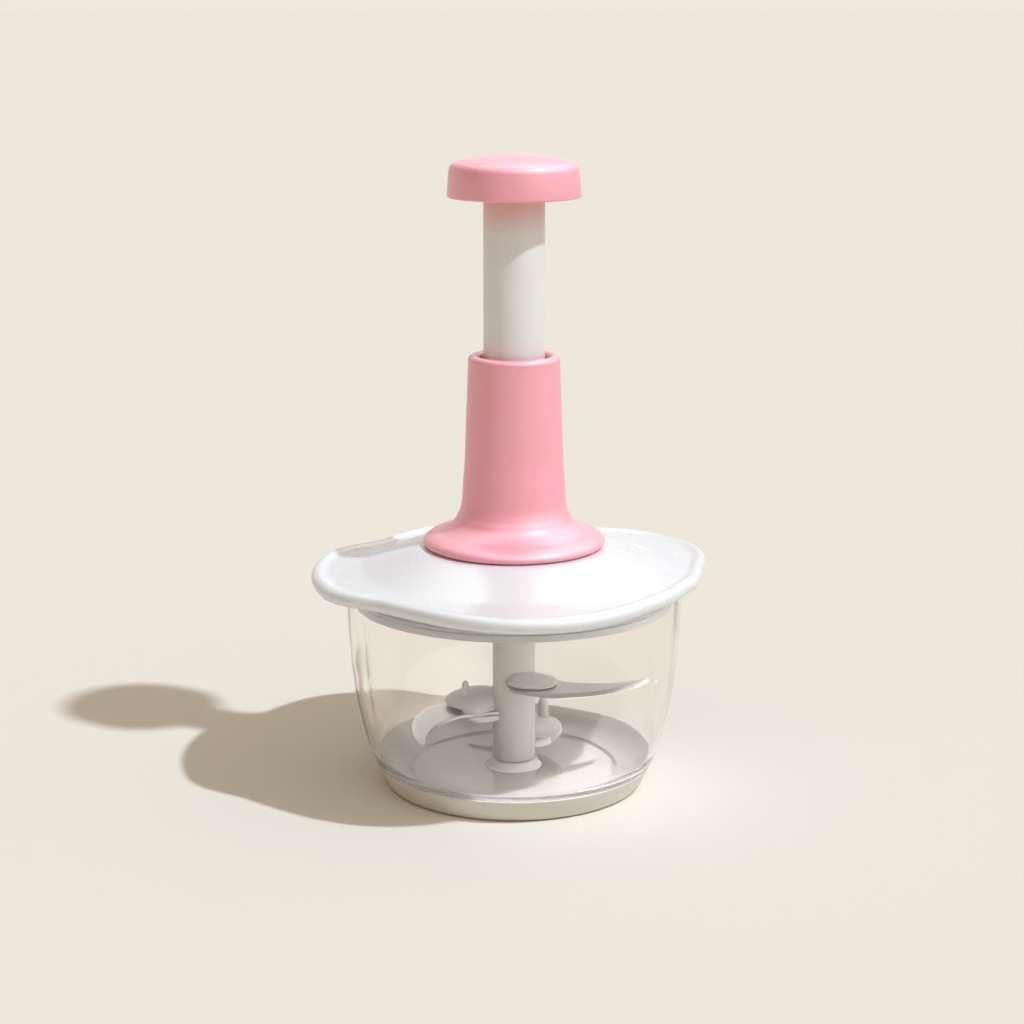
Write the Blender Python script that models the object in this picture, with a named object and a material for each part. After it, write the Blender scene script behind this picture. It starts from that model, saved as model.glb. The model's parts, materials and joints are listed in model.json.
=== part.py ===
"""Plunger food chopper: a clear bowl on a cup-shaped base, a wavy lid with a tapered tower,
and a press knob on a tube that turns three staggered blades through a twisted rod.

Metres, +Z up. The origin is on the axis, at the flat underside of the base. -Y is the front.
Every piece is modelled at its real size and stands where it works, knob up.
"""

import math

import bmesh
import bpy
from mathutils import Matrix, Vector

# Fits
GAP = 0.0003
RUN_GAP = 0.00035
OVERRUN = 0.001
MERGE = 0.000001

# Counts
BOWL_SIDES = 40
LID_SIDES = 72
TOWER_SIDES = 32
SMALL_SIDES = 20
SCREW_SIDES = 8
CORNER_STEPS = 3

# Base cup
BASE_TAPER = 0.0078
BASE_CORNER = 0.0060
BASE_CORNER_END = math.radians(-17)
BASE_HEIGHT = 0.0102
BASE_FLOOR = 0.0032
BASE_LIP = 0.0015

# Bowl
BOWL_SEAM_RADIUS = 0.0613
BOWL_RIM_RADIUS = 0.0732
BOWL_HEIGHT = 0.0815
BOWL_WALL = 0.0025
BOWL_FLOOR = 0.0031
BOWL_CORNER = 0.0060
BOWL_SIDE_SHARES = (
    (0.097, 0.286), (0.223, 0.504), (0.377, 0.723), (0.513, 0.840),
    (0.638, 0.933), (0.804, 0.983), (1.0, 1.0),
)
BOSS_HEIGHT = 0.0031
BOSS_TOP_RADIUS = 0.0082
BOSS_FLARE = 0.0034
BOSS_FLARE_SHARE = 0.33
STIR_RIBS = 3
STIR_RIB_START = math.radians(-32.5)
STIR_RIB_WIDTH = 0.0036
STIR_RIB_PROUD = 0.0014
STIR_RIB_LOW_SHARE = 0.30
STIR_RIB_HIGH_SHARE = 0.86
STIR_RIB_END_SHARE = 0.33

# Pivot pin
PIN_RADIUS = 0.0030
PIN_LENGTH = 0.0290
PIN_CHAMFER = 0.0008
PIN_SOCKET_FLOOR = 0.0016

# Blade unit
SHAFT_RADIUS = 0.00945
SHAFT_HEAD_ROOM = 0.0006
SHAFT_FOOT_ROUND = 0.0012
BUSH_RADIUS = 0.0062
BUSH_LENGTH = 0.0140
PIN_BORE_DEPTH = 0.0260
SOCKET_DEPTH = 0.0125
BLADE_LEVELS = 3
ARM_NAMES = ("upper", "middle", "lower")
LOWEST_BLADE_RISE = 0.0064
BLADE_SPACING = 0.0159
FIRST_ARM = math.radians(-60)
ARM_STEP = math.radians(-120)
BLADE_THICKNESS = 0.0012
BLADE_CLEARANCE = 0.0114
LOWEST_CLEARANCE = 0.0038
BLADE_ROOT_STEPS = 5
BLADE_ROOT_FROM = math.radians(46)
BLADE_ROOT_TO = math.radians(-52)
BLADE_LEADING_SHARES = (
    (0.31, -0.21), (0.47, -0.172), (0.613, -0.053), (0.684, 0.121),
    (0.716, 0.319), (0.694, 0.543), (0.649, 0.721), (0.613, 0.790),
)
BLADE_TRAILING_SHARES = (
    (0.600, 0.760), (0.599, 0.645), (0.566, 0.479), (0.493, 0.335), (0.418, 0.243), (0.336, 0.183),
)
PETAL_LENGTH = 0.0168
PETAL_WIDTH = 0.0127
PETAL_OUT = 0.0152
PETAL_ASIDE = -0.0020
PETAL_HEIGHT = 0.0041
PETAL_EDGE = 0.0008
PETAL_RELIEF = 0.0013
PETAL_SEAT_SHARE = 0.68
PETAL_DOME_SHARES = ((0.97, 0.30), (0.86, 0.58), (0.66, 0.82), (0.38, 0.95), (0.0, 1.0))
PEG_RADIUS = 0.0016
LOWEST_PEG_RADIUS = 0.0024
PEG_CHAMFER_SHARE = 0.33
PEG_HEIGHT = 0.0082
PEG_OUT = 0.0215
PEG_TURN = math.radians(2)
LOWEST_PEG_TURN = math.radians(-8)
CLAMP_RADIUS = 0.0140
CLAMP_OUT = 0.0095
CLAMP_THICKNESS = 0.0023
RIVET_RADIUS = 0.0012
RIVET_HEAD_RADIUS = 0.0023
RIVET_HEAD = 0.0008
RIVET_BITE = 0.0014
RIVET_OUT = 0.0148
RIVET_ASIDE = 0.0060

# Lid shell
LID_RIM_OVERHANG = 0.0063
LID_RIM_ROUND = 0.0033
LID_LOBE_RISE = 0.0135
# Each lobe: where its middle is and how far its crest and its foot reach to each side, in
# degrees, and its share of the rise
LID_LOBE_SHARES = (
    (35, 6, 45, 1.0), (105, 6, 42, 0.64), (183, 20, 44, 0.68), (277, 2, 46, 0.66), (352, 3, 14, 0.13),
)
LID_DECK_RISE = 0.0147
LID_DECK_RADIUS = 0.0403
LID_THICKNESS = 0.0026
LID_SEAT_OUTSIDE = 0.0020
LID_SEAT_INSIDE = 0.0033
LID_DISH_OUTSIDE = 0.0003
LID_DISH_DROP = 0.0011
LID_HOLE_RADIUS = 0.0185
LID_SLOPE_SHARES = ((0.07, 0.965), (0.25, 0.79), (0.50, 0.50), (0.75, 0.21), (0.90, 0.06), (1.0, 0.0))
LID_UNDER_SHARES = (0.78, 0.50, 0.20)
LID_RIM_FROM = math.radians(118)
LID_RIM_TO = math.radians(-100)
LID_RIM_STEPS = 6

# Lid liner
LINER_CLEARANCE = 0.0015
LINER_SKIRT = 0.0022
LINER_SKIRT_DROP = 0.0098
LINER_PLATE = 0.0022
LINER_PLATE_RISE = 0.0020
HUB_RADIUS = 0.0140
HUB_TOP_DROP = 0.0025
HUB_BOTTOM_DROP = 0.0180
HUB_ENTRY = 0.0053
HUB_LEDGE = 0.0012
HUB_LEDGE_RADIUS = 0.0060
HUB_LEDGE_DROP = 0.0073
SEAL_DEPTH = 0.0010
SEAL_HEIGHT = 0.0032
SEAL_RISE = 0.0030
SEAL_CROWN_SHARE = 0.6

# Drive
JOURNAL_RADIUS = 0.0050
BEARING_WALL = 0.0026
WASHER_THICKNESS = 0.0007
WASHER_RADIUS = 0.0105
COLLAR_FLANGE_RADIUS = 0.0110
COLLAR_FLANGE = 0.0028
TANG_RADIUS = 0.0022
TANG_RECESS = 0.0019
STRIP_WIDTH = 0.0070
STRIP_THICKNESS = 0.0026
STRIP_SPARE = 0.0044
STRIP_STEPS = 64
TWIST_LEAD = 0.0420
HEX_ACROSS = 0.0080
HEX_LENGTH = 0.0108
DRIVER_COLLAR_RADIUS = 0.0076
DRIVER_COLLAR = 0.0014
CROSS_PIN_RADIUS = 0.0009
CROSS_PIN_DROP = 0.0050
CROSS_PIN_LENGTH = 0.0070

# Tower
TOWER_FOOT_RADIUS = 0.0395
TOWER_FOOT_SHARES = ((-0.087, 0.0), (-0.015, 0.009), (0.0, 0.026))
TOWER_MOUTH_RADIUS = 0.0198
TOWER_SIDE_SHARES = (
    (0.934, 0.047), (0.797, 0.064), (0.619, 0.078), (0.447, 0.100), (0.320, 0.126), (0.254, 0.153),
    (0.198, 0.181), (0.147, 0.232), (0.117, 0.339), (0.081, 0.446), (0.056, 0.605), (0.030, 0.762),
    (0.0, 0.950),
)
TOWER_BORE_RADIUS = 0.0176
TOWER_LIP_RADIUS = 0.0153
TOWER_LIP_DEPTH = 0.0065
KEY_WIDTH = 0.0030
KEY_DEPTH = 0.0019
KEYS = 2

# Plunger
STROKE = 0.0630
TUBE_RADIUS = 0.01315
TUBE_WALL = 0.0018
KNOB_REST = 0.0039
TUBE_END_WALL = 0.0025
GUIDE_LENGTH = 0.0157
STOP_LENGTH = 0.0060
NUT_REST = 0.0012
NUT_FLANGE = 0.0030
NUT_LENGTH = 0.0126
NUT_SLOT_STEPS = 16
KNOB_RADIUS = 0.02845
KNOB_HEIGHT = 0.0177
KNOB_SIDE = 0.0104
KNOB_TAPER = 0.0007
KNOB_SHOULDER_SHARES = (
    (0.992, 0.68), (0.965, 0.762), (0.915, 0.822), (0.80, 0.878), (0.62, 0.932), (0.34, 0.982),
)
KNOB_EDGE = 0.0009
KNOB_WALL = 0.0024
KNOB_ROOF = 0.0105
KNOB_SOCKET_WALL = 0.0025
KNOB_SOCKET_DEPTH = 0.0068
KNOB_RIBS = 6
KNOB_RIB_WIDTH = 0.0016

# Spring
SPRING_RADIUS = 0.0094
SPRING_WIRE = 0.00065
SPRING_TURNS = 10
SPRING_POINTS = 8
SPRING_WIRE_SIDES = 4
SEAT_RADIUS = 0.0103
SEAT_THICKNESS = 0.0016
SEAT_BOSS_RADIUS = 0.0080
SEAT_BOSS = 0.0018

# Screws
SCREW_RADIUS = 0.0015
SCREW_HEAD_RADIUS = 0.0032
SCREW_HEAD = 0.0018
TOWER_SCREWS = 3
TOWER_SCREW_OUT = 0.0280
TOWER_SCREW_BITE = 0.0055
TOWER_SCREW_START = math.radians(90)
LINER_SCREWS = 3
LINER_SCREW_OUTSIDE = 0.0047
LINER_SCREW_BITE = 0.0110
LINER_SCREW_START = math.radians(30)
LINER_BOSS_RADIUS = 0.0040
KNOB_SCREW_BITE = 0.0070

# Heights worked out from the sizes above
BOWL_BOTTOM = BASE_FLOOR + GAP
SEAM_HEIGHT = BASE_HEIGHT + GAP
BOWL_FLOOR_TOP = BOWL_BOTTOM + BOWL_FLOOR
BOSS_TOP = BOWL_FLOOR_TOP + BOSS_HEIGHT
PIN_BOTTOM = BOWL_BOTTOM + PIN_SOCKET_FLOOR + GAP
SHAFT_BOTTOM = BOSS_TOP + GAP
BOWL_TOP = SEAM_HEIGHT + BOWL_HEIGHT
LID_SEAT = BOWL_TOP + GAP
LID_RIM_CENTRE = LID_SEAT + LID_RIM_ROUND / 2
LID_DISH = LID_RIM_CENTRE + LID_RIM_ROUND - LID_DISH_DROP
LID_DECK = LID_SEAT + LID_DECK_RISE
HUB_BOTTOM = LID_SEAT - HUB_BOTTOM_DROP
HUB_TOP = LID_SEAT - HUB_TOP_DROP
SHAFT_TOP = HUB_BOTTOM + HUB_ENTRY - SHAFT_HEAD_ROOM
LEDGE_TOP = HUB_TOP - HUB_LEDGE_DROP
LEDGE_BOTTOM = LEDGE_TOP - HUB_LEDGE
SKIRT_BOTTOM = LID_SEAT - LINER_SKIRT_DROP
PLATE_BOTTOM = SKIRT_BOTTOM + LINER_PLATE_RISE
PLATE_TOP = PLATE_BOTTOM + LINER_PLATE
FLANGE_BOTTOM = HUB_TOP + GAP + WASHER_THICKNESS + GAP
FLANGE_TOP = FLANGE_BOTTOM + COLLAR_FLANGE
STRIP_BOTTOM = FLANGE_TOP + GAP
STRIP_TOP = STRIP_BOTTOM + STROKE + NUT_LENGTH + STRIP_SPARE
JOURNAL_BOTTOM = LEDGE_BOTTOM
DRIVER_TOP = JOURNAL_BOTTOM - GAP
DRIVER_LOW = DRIVER_TOP - DRIVER_COLLAR
HEX_BOTTOM = DRIVER_LOW - HEX_LENGTH
TANG_BOTTOM = HEX_BOTTOM + TANG_RECESS
TOWER_FOOT = LID_DECK + GAP
NUT_BOTTOM = STRIP_BOTTOM + NUT_REST + STROKE
TUBE_BOTTOM = NUT_BOTTOM + NUT_FLANGE + GAP
STOP_BOTTOM = TUBE_BOTTOM
STOP_TOP = STOP_BOTTOM + STOP_LENGTH
GUIDE_BOTTOM = STOP_TOP + GAP
GUIDE_TOP = GUIDE_BOTTOM + GUIDE_LENGTH
LIP_STEP = GUIDE_TOP + GAP
TOWER_TOP = LIP_STEP + TOWER_LIP_DEPTH
TOWER_HEIGHT = TOWER_TOP - TOWER_FOOT
KNOB_BOTTOM = TOWER_TOP + KNOB_REST + STROKE
TUBE_TOP = KNOB_BOTTOM + KNOB_SOCKET_DEPTH
SOCKET_TOP = TUBE_TOP + GAP
TUBE_CEILING = TUBE_TOP - TUBE_END_WALL
NUT_TOP = NUT_BOTTOM + NUT_LENGTH
SEAT_BOTTOM = STRIP_TOP + GAP
SPRING_BOTTOM = SEAT_BOTTOM + SEAT_THICKNESS + GAP
SPRING_TOP = TUBE_CEILING - GAP
KEY_BOTTOM = TOWER_FOOT + OVERRUN
KEY_TOP = GUIDE_BOTTOM - GAP

# Radii worked out from the sizes above
BASE_FOOT_RADIUS = BOWL_SEAM_RADIUS - BASE_TAPER
BLADE_REACH = BOWL_RIM_RADIUS - BLADE_CLEARANCE
LOWEST_REACH = BOWL_SEAM_RADIUS - LOWEST_CLEARANCE
LID_RIM_RADIUS = BOWL_RIM_RADIUS + LID_RIM_OVERHANG
LID_SEAT_OUTER = BOWL_RIM_RADIUS + LID_SEAT_OUTSIDE
LID_SEAT_INNER = BOWL_RIM_RADIUS - LID_SEAT_INSIDE
LID_DISH_RADIUS = BOWL_RIM_RADIUS + LID_DISH_OUTSIDE
LINER_SCREW_OUT = LID_DECK_RADIUS + LINER_SCREW_OUTSIDE
LINER_RADIUS = BOWL_RIM_RADIUS - BOWL_WALL - LINER_CLEARANCE
PIN_BORE = PIN_RADIUS + GAP
BUSH_BORE = BUSH_RADIUS + GAP
HUB_BORE = SHAFT_RADIUS + RUN_GAP
BEARING_INNER = JOURNAL_RADIUS + GAP
BEARING_OUTER = BEARING_INNER + BEARING_WALL
BEARING_SEAT = BEARING_OUTER + GAP
TUBE_BORE = TUBE_RADIUS - TUBE_WALL
GUIDE_BORE = TUBE_RADIUS + GAP
GUIDE_OUTER = TOWER_BORE_RADIUS - GAP
STOP_OUTER = TOWER_BORE_RADIUS - RUN_GAP
NUT_RADIUS = TUBE_BORE - GAP
KNOB_SOCKET_OUTER = GUIDE_BORE + KNOB_SOCKET_WALL
SCREW_HOLE = SCREW_RADIUS + GAP


def material(name, colour, roughness, metallic=0.0, clear=0.0):
    """A plain Principled surface, seen through by the share 'clear'."""
    made = bpy.data.materials.new(name)
    made.use_nodes = True
    shader = made.node_tree.nodes["Principled BSDF"]
    shader.inputs["Base Color"].default_value = (*colour, 1.0)
    shader.inputs["Roughness"].default_value = roughness
    shader.inputs["Metallic"].default_value = metallic
    shader.inputs["Transmission Weight"].default_value = clear
    return made


def clear_scene():
    """Removes every object that the file opens with."""
    for obj in list(bpy.data.objects):
        bpy.data.objects.remove(obj, do_unlink=True)


def frame(name, height, parent=None):
    """An empty on the axis at a height. Pieces that move together hang from it."""
    empty = bpy.data.objects.new(name, None)
    bpy.context.collection.objects.link(empty)
    empty["height"] = height
    if parent is not None:
        empty.parent = parent
        height -= parent["height"]
    empty.location = (0.0, 0.0, height)
    return empty


def piece(name, shape, parent, origin, surface=None):
    """Turns a bmesh in world heights into an object whose own origin lies at the height 'origin'."""
    bmesh.ops.translate(shape, verts=shape.verts, vec=(0.0, 0.0, -origin))
    mesh = bpy.data.meshes.new(name)
    shape.to_mesh(mesh)
    shape.free()
    mesh.shade_smooth()
    mesh.set_sharp_from_angle(angle=math.radians(32))
    obj = bpy.data.objects.new(name, mesh)
    bpy.context.collection.objects.link(obj)
    obj.parent = parent
    obj.location = (0.0, 0.0, origin - parent["height"])
    if surface is not None:
        mesh.materials.append(surface)
    return obj


def copies(name, shape, parent, origin, surface, places):
    """The same piece at several (x, y) places, each its own object with the one mesh."""
    first = piece(f"{name}_1", shape, parent, origin, surface)
    for index, (x, y) in enumerate(places):
        obj = first
        if index > 0:
            obj = bpy.data.objects.new(f"{name}_{index + 1}", first.data)
            bpy.context.collection.objects.link(obj)
            obj.parent = parent
        obj.location = (x, y, origin - parent["height"])


def guide(name, shape, parent, origin):
    """A shape that only cuts or joins, and isn't a piece itself."""
    obj = piece(name, shape, parent, origin)
    obj.hide_render = True
    obj.display_type = "WIRE"
    return obj


def combine(obj, other, operation):
    """Adds an exact Boolean of another object."""
    modifier = obj.modifiers.new(other.name, "BOOLEAN")
    modifier.operation = operation
    modifier.solver = "EXACT"
    modifier.object = other
    return obj


def turned(outline, sides):
    """A solid of revolution. An outline of (radius, height) that starts and ends on the axis is
    spun as it is, and any other is closed into a ring first."""
    shape = bmesh.new()
    points = [shape.verts.new((radius, 0.0, height)) for radius, height in outline]
    edges = [shape.edges.new(pair) for pair in zip(points, points[1:])]
    if outline[0][0] > 0.0:
        edges.append(shape.edges.new((points[-1], points[0])))
    bmesh.ops.spin(
        shape, geom=points + edges, cent=(0, 0, 0), axis=(0, 0, 1),
        angle=math.tau, steps=sides, use_merge=True,
    )
    bmesh.ops.remove_doubles(shape, verts=shape.verts, dist=MERGE)
    bmesh.ops.recalc_face_normals(shape, faces=shape.faces)
    return shape


def rod(radius, low, high, sides, chamfer=0.0):
    """A round bar from one height to another, with an optional chamfer on top."""
    outline = [(0.0, low), (radius, low), (radius, high - chamfer)]
    if chamfer > 0.0:
        outline.append((radius - chamfer, high))
    return turned(outline + [(0.0, high)], sides)


def tube(inner, outer, low, high, sides):
    """A plain ring."""
    return turned([(inner, low), (outer, low), (outer, high), (inner, high)], sides)


def slab(points, low, high):
    """A flat outline of (x, y), raised from one height to another."""
    shape = bmesh.new()
    face = shape.faces.new([shape.verts.new((x, y, low)) for x, y in points])
    raised = bmesh.ops.extrude_face_region(shape, geom=[face])["geom"]
    moved = [item for item in raised if isinstance(item, bmesh.types.BMVert)]
    bmesh.ops.translate(shape, verts=moved, vec=(0.0, 0.0, high - low))
    bmesh.ops.recalc_face_normals(shape, faces=shape.faces)
    return shape


def block(length, width, low, high, out=0.0):
    """A box along +X, its middle at a distance 'out' from the axis."""
    near = out - length / 2
    far = out + length / 2
    half = width / 2
    return slab([(near, -half), (far, -half), (far, half), (near, half)], low, high)


def hexagon(across, low, high):
    """A hexagonal bar of a given size across its flats."""
    corner = across / math.sqrt(3)
    turns = [math.tau * side / 6 for side in range(6)]
    return slab([(corner * math.cos(turn), corner * math.sin(turn)) for turn in turns], low, high)


def turned_to(shape, angle):
    """Swings a shape about the axis."""
    bmesh.ops.rotate(shape, verts=shape.verts, cent=(0, 0, 0), matrix=Matrix.Rotation(angle, 3, "Z"))
    return shape


def moved_to(shape, x, y):
    """Moves a shape sideways."""
    bmesh.ops.translate(shape, verts=shape.verts, vec=(x, y, 0.0))
    return shape


def gathered(shapes):
    """Several solids that stay apart, in one bmesh."""
    whole = bmesh.new()
    for shape in shapes:
        mesh = bpy.data.meshes.new("gathered")
        shape.to_mesh(mesh)
        shape.free()
        whole.from_mesh(mesh)
        bpy.data.meshes.remove(mesh)
    return whole


def circle_places(count, start, out):
    """Evenly spaced (x, y) places on a circle."""
    angles = [start + math.tau * index / count for index in range(count)]
    return [(out * math.cos(angle), out * math.sin(angle)) for angle in angles]


def around(make, places):
    """A shape made anew at each place."""
    return gathered([moved_to(make(), x, y) for x, y in places])


def tower_screw_places():
    """Where the tower's screws stand."""
    return circle_places(TOWER_SCREWS, TOWER_SCREW_START, TOWER_SCREW_OUT)


def liner_screw_places():
    """Where the liner's screws stand."""
    return circle_places(LINER_SCREWS, LINER_SCREW_START, LINER_SCREW_OUT)


def corner(centre_radius, centre_height, size, start, end, steps):
    """Points of (radius, height) on a round corner, from one angle to another."""
    angles = [start + (end - start) * step / steps for step in range(steps + 1)]
    return [(centre_radius + size * math.cos(a), centre_height + size * math.sin(a)) for a in angles]


def between(low, high, share):
    """A place between two sizes, as a share of the way."""
    return low + (high - low) * share


def screw(head_bottom, bite_top):
    """A screw that points up, with its head at the bottom."""
    head_top = head_bottom + SCREW_HEAD
    outline = [
        (0.0, head_bottom), (SCREW_HEAD_RADIUS, head_bottom), (SCREW_HEAD_RADIUS, head_top),
        (SCREW_RADIUS, head_top), (SCREW_RADIUS, bite_top), (0.0, bite_top),
    ]
    return turned(outline, SCREW_SIDES)


def skinned(shape, rings):
    """Closes a row of equal rings into a solid, with triangles between them."""
    count = len(rings[0])
    shape.faces.new(rings[0])
    shape.faces.new(rings[-1])
    for lower, upper in zip(rings, rings[1:]):
        for side in range(count):
            after = (side + 1) % count
            shape.faces.new((lower[side], lower[after], upper[after], upper[side]))
    bmesh.ops.triangulate(shape, faces=shape.faces)
    bmesh.ops.recalc_face_normals(shape, faces=shape.faces)
    return shape


def twisted_bar(width, thickness, low, high, steps, twist_from):
    """A flat bar that turns left-handed about the axis, once round in each lead. A column of
    points down the middle of its broad sides keeps them close to the true screw surface."""
    shape = bmesh.new()
    half = thickness / 2
    corners = [
        (-width / 2, -half), (0.0, -half), (width / 2, -half),
        (width / 2, half), (0.0, half), (-width / 2, half),
    ]
    rings = []
    for step in range(steps + 1):
        height = between(low, high, step / steps)
        turn = Matrix.Rotation(-math.tau * (height - twist_from) / TWIST_LEAD, 3, "Z")
        rings.append([shape.verts.new(turn @ Vector((x, y, height))) for x, y in corners])
    return skinned(shape, rings)


def arm_angle(level):
    """The azimuth of an arm. Level 0 is the top one."""
    return FIRST_ARM + ARM_STEP * level


def blade_height(level):
    """The middle height of a blade. Level 0 is the top one."""
    return SHAFT_BOTTOM + LOWEST_BLADE_RISE + BLADE_SPACING * (BLADE_LEVELS - 1 - level)


def bowl_outline():
    """The bowl's section: foot, side, rim, inner side, floor and the boss that holds the pin."""
    foot_radius = BOWL_SEAM_RADIUS - BASE_LIP - GAP
    side = [
        (between(BOWL_SEAM_RADIUS, BOWL_RIM_RADIUS, out), SEAM_HEIGHT + BOWL_HEIGHT * up)
        for up, out in BOWL_SIDE_SHARES
    ]
    corner_out = foot_radius - BOWL_CORNER
    foot = corner(
        corner_out, BOWL_BOTTOM + BOWL_CORNER, BOWL_CORNER, math.radians(-90), 0.0, CORNER_STEPS,
    )
    inner = [(radius - BOWL_WALL, height) for radius, height in reversed(side)]
    inner_corner = corner(
        corner_out, BOWL_FLOOR_TOP + BOWL_CORNER, BOWL_CORNER, math.radians(-15), math.radians(-90),
        CORNER_STEPS,
    )
    boss = [
        (BOSS_TOP_RADIUS + BOSS_FLARE, BOWL_FLOOR_TOP),
        (
            BOSS_TOP_RADIUS + BOSS_FLARE * BOSS_FLARE_SHARE,
            BOWL_FLOOR_TOP + BOSS_HEIGHT * BOSS_FLARE_SHARE,
        ),
        (BOSS_TOP_RADIUS, BOSS_TOP),
        (PIN_BORE, BOSS_TOP),
        (PIN_BORE, PIN_BOTTOM - GAP),
        (0.0, PIN_BOTTOM - GAP),
    ]
    seam = [(foot_radius, SEAM_HEIGHT), (BOWL_SEAM_RADIUS, SEAM_HEIGHT)]
    return [(0.0, BOWL_BOTTOM)] + foot + seam + side + inner + inner_corner + boss


def stir_rib(index):
    """A low rib on the bowl's inner wall, thinning to nothing at both ends."""
    shape = bmesh.new()
    rings = []
    shares = [share for share in BOWL_SIDE_SHARES if share[0] < STIR_RIB_HIGH_SHARE]
    shares = [share for share in shares if share[0] > STIR_RIB_LOW_SHARE]
    ends = (shares[0], shares[-1])
    for up, out in shares:
        height = SEAM_HEIGHT + BOWL_HEIGHT * up
        wall = between(BOWL_SEAM_RADIUS, BOWL_RIM_RADIUS, out) - BOWL_WALL
        proud = STIR_RIB_PROUD
        if (up, out) in ends:
            proud = STIR_RIB_PROUD * STIR_RIB_END_SHARE
        root = wall + BOWL_WALL / 2
        rings.append([
            shape.verts.new((root, -STIR_RIB_WIDTH / 2, height)),
            shape.verts.new((root, STIR_RIB_WIDTH / 2, height)),
            shape.verts.new((wall - proud, STIR_RIB_WIDTH / 4, height)),
            shape.verts.new((wall - proud, -STIR_RIB_WIDTH / 4, height)),
        ])
    return turned_to(skinned(shape, rings), STIR_RIB_START + math.tau * index / STIR_RIBS)


def build_bowl(root, clear, steel):
    """The clear bowl with its three stirring ribs, and the steel pin the blades turn on."""
    bowl = piece("bowl", turned(bowl_outline(), BOWL_SIDES), root, BOWL_BOTTOM, clear)
    for index in range(STIR_RIBS):
        rib = guide(f"stir_rib_{index + 1}", stir_rib(index), root, BOWL_BOTTOM)
        combine(bowl, rib, "UNION")
    pin = rod(PIN_RADIUS, PIN_BOTTOM, PIN_BOTTOM + PIN_LENGTH, SMALL_SIDES, PIN_CHAMFER)
    piece("pivot_pin", pin, root, PIN_BOTTOM, steel)


def build_base(root, surface):
    """The cup-shaped base: a flat floor, a round corner and a thin lip flush with the bowl."""
    outer = corner(
        BASE_FOOT_RADIUS, BASE_CORNER, BASE_CORNER, math.radians(-90), BASE_CORNER_END, CORNER_STEPS,
    )
    lip_inner = BOWL_SEAM_RADIUS - BASE_LIP
    corner_out = lip_inner - GAP - BOWL_CORNER
    size = BOWL_CORNER + GAP
    inner = corner(corner_out, BASE_FLOOR + size, size, 0.0, math.radians(-90), CORNER_STEPS)
    outline = [(0.0, 0.0)] + outer
    outline += [(BOWL_SEAM_RADIUS - GAP, BASE_HEIGHT), (lip_inner, BASE_HEIGHT)]
    outline += inner + [(0.0, BASE_FLOOR)]
    piece("non_slip_base", turned(outline, BOWL_SIDES), root, 0.0, surface)


def petal(level):
    """The domed plate over a blade's root. Its outer edge is relieved, so it stands off the blade."""
    low = blade_height(level) + BLADE_THICKNESS / 2 + GAP
    rise = PETAL_HEIGHT - PETAL_RELIEF - PETAL_EDGE
    edge = low + PETAL_RELIEF + PETAL_EDGE
    outline = [
        (0.0, low), (PETAL_SEAT_SHARE, low), (PETAL_SEAT_SHARE, low + PETAL_RELIEF),
        (1.0, low + PETAL_RELIEF), (1.0, edge),
    ]
    outline += [(out, edge + rise * up) for out, up in PETAL_DOME_SHARES]
    shape = turned(outline, SMALL_SIDES)
    bmesh.ops.scale(shape, verts=shape.verts, vec=(PETAL_LENGTH, PETAL_WIDTH, 1.0))
    return turned_to(moved_to(shape, PETAL_OUT, PETAL_ASIDE), arm_angle(level))


def peg(level, radius, turn):
    """An upright stirring peg on a petal."""
    low = blade_height(level) + BLADE_THICKNESS / 2 + GAP + PETAL_RELIEF + PETAL_EDGE
    high = blade_height(level) + BLADE_THICKNESS / 2 + GAP + PETAL_HEIGHT + PEG_HEIGHT
    shape = rod(radius, low, high, SCREW_SIDES, radius * PEG_CHAMFER_SHARE)
    return turned_to(moved_to(shape, PEG_OUT, 0.0), arm_angle(level) + turn)


def rivet_places(level):
    """The two rivets of an arm, one on each side of its middle line."""
    turn = Matrix.Rotation(arm_angle(level), 2)
    return [tuple(turn @ Vector((RIVET_OUT, aside))) for aside in (RIVET_ASIDE, -RIVET_ASIDE)]


def rivet_holes(level, low, high):
    """Upright holes at an arm's rivet places."""
    return around(lambda: rod(RIVET_RADIUS + GAP, low, high, SCREW_SIDES), rivet_places(level))


def headed_rivet(low, high):
    """A rivet with its head below."""
    outline = [
        (0.0, low), (RIVET_HEAD_RADIUS, low), (RIVET_HEAD_RADIUS, low + RIVET_HEAD),
        (RIVET_RADIUS, low + RIVET_HEAD), (RIVET_RADIUS, high), (0.0, high),
    ]
    return turned(outline, SCREW_SIDES)


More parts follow.
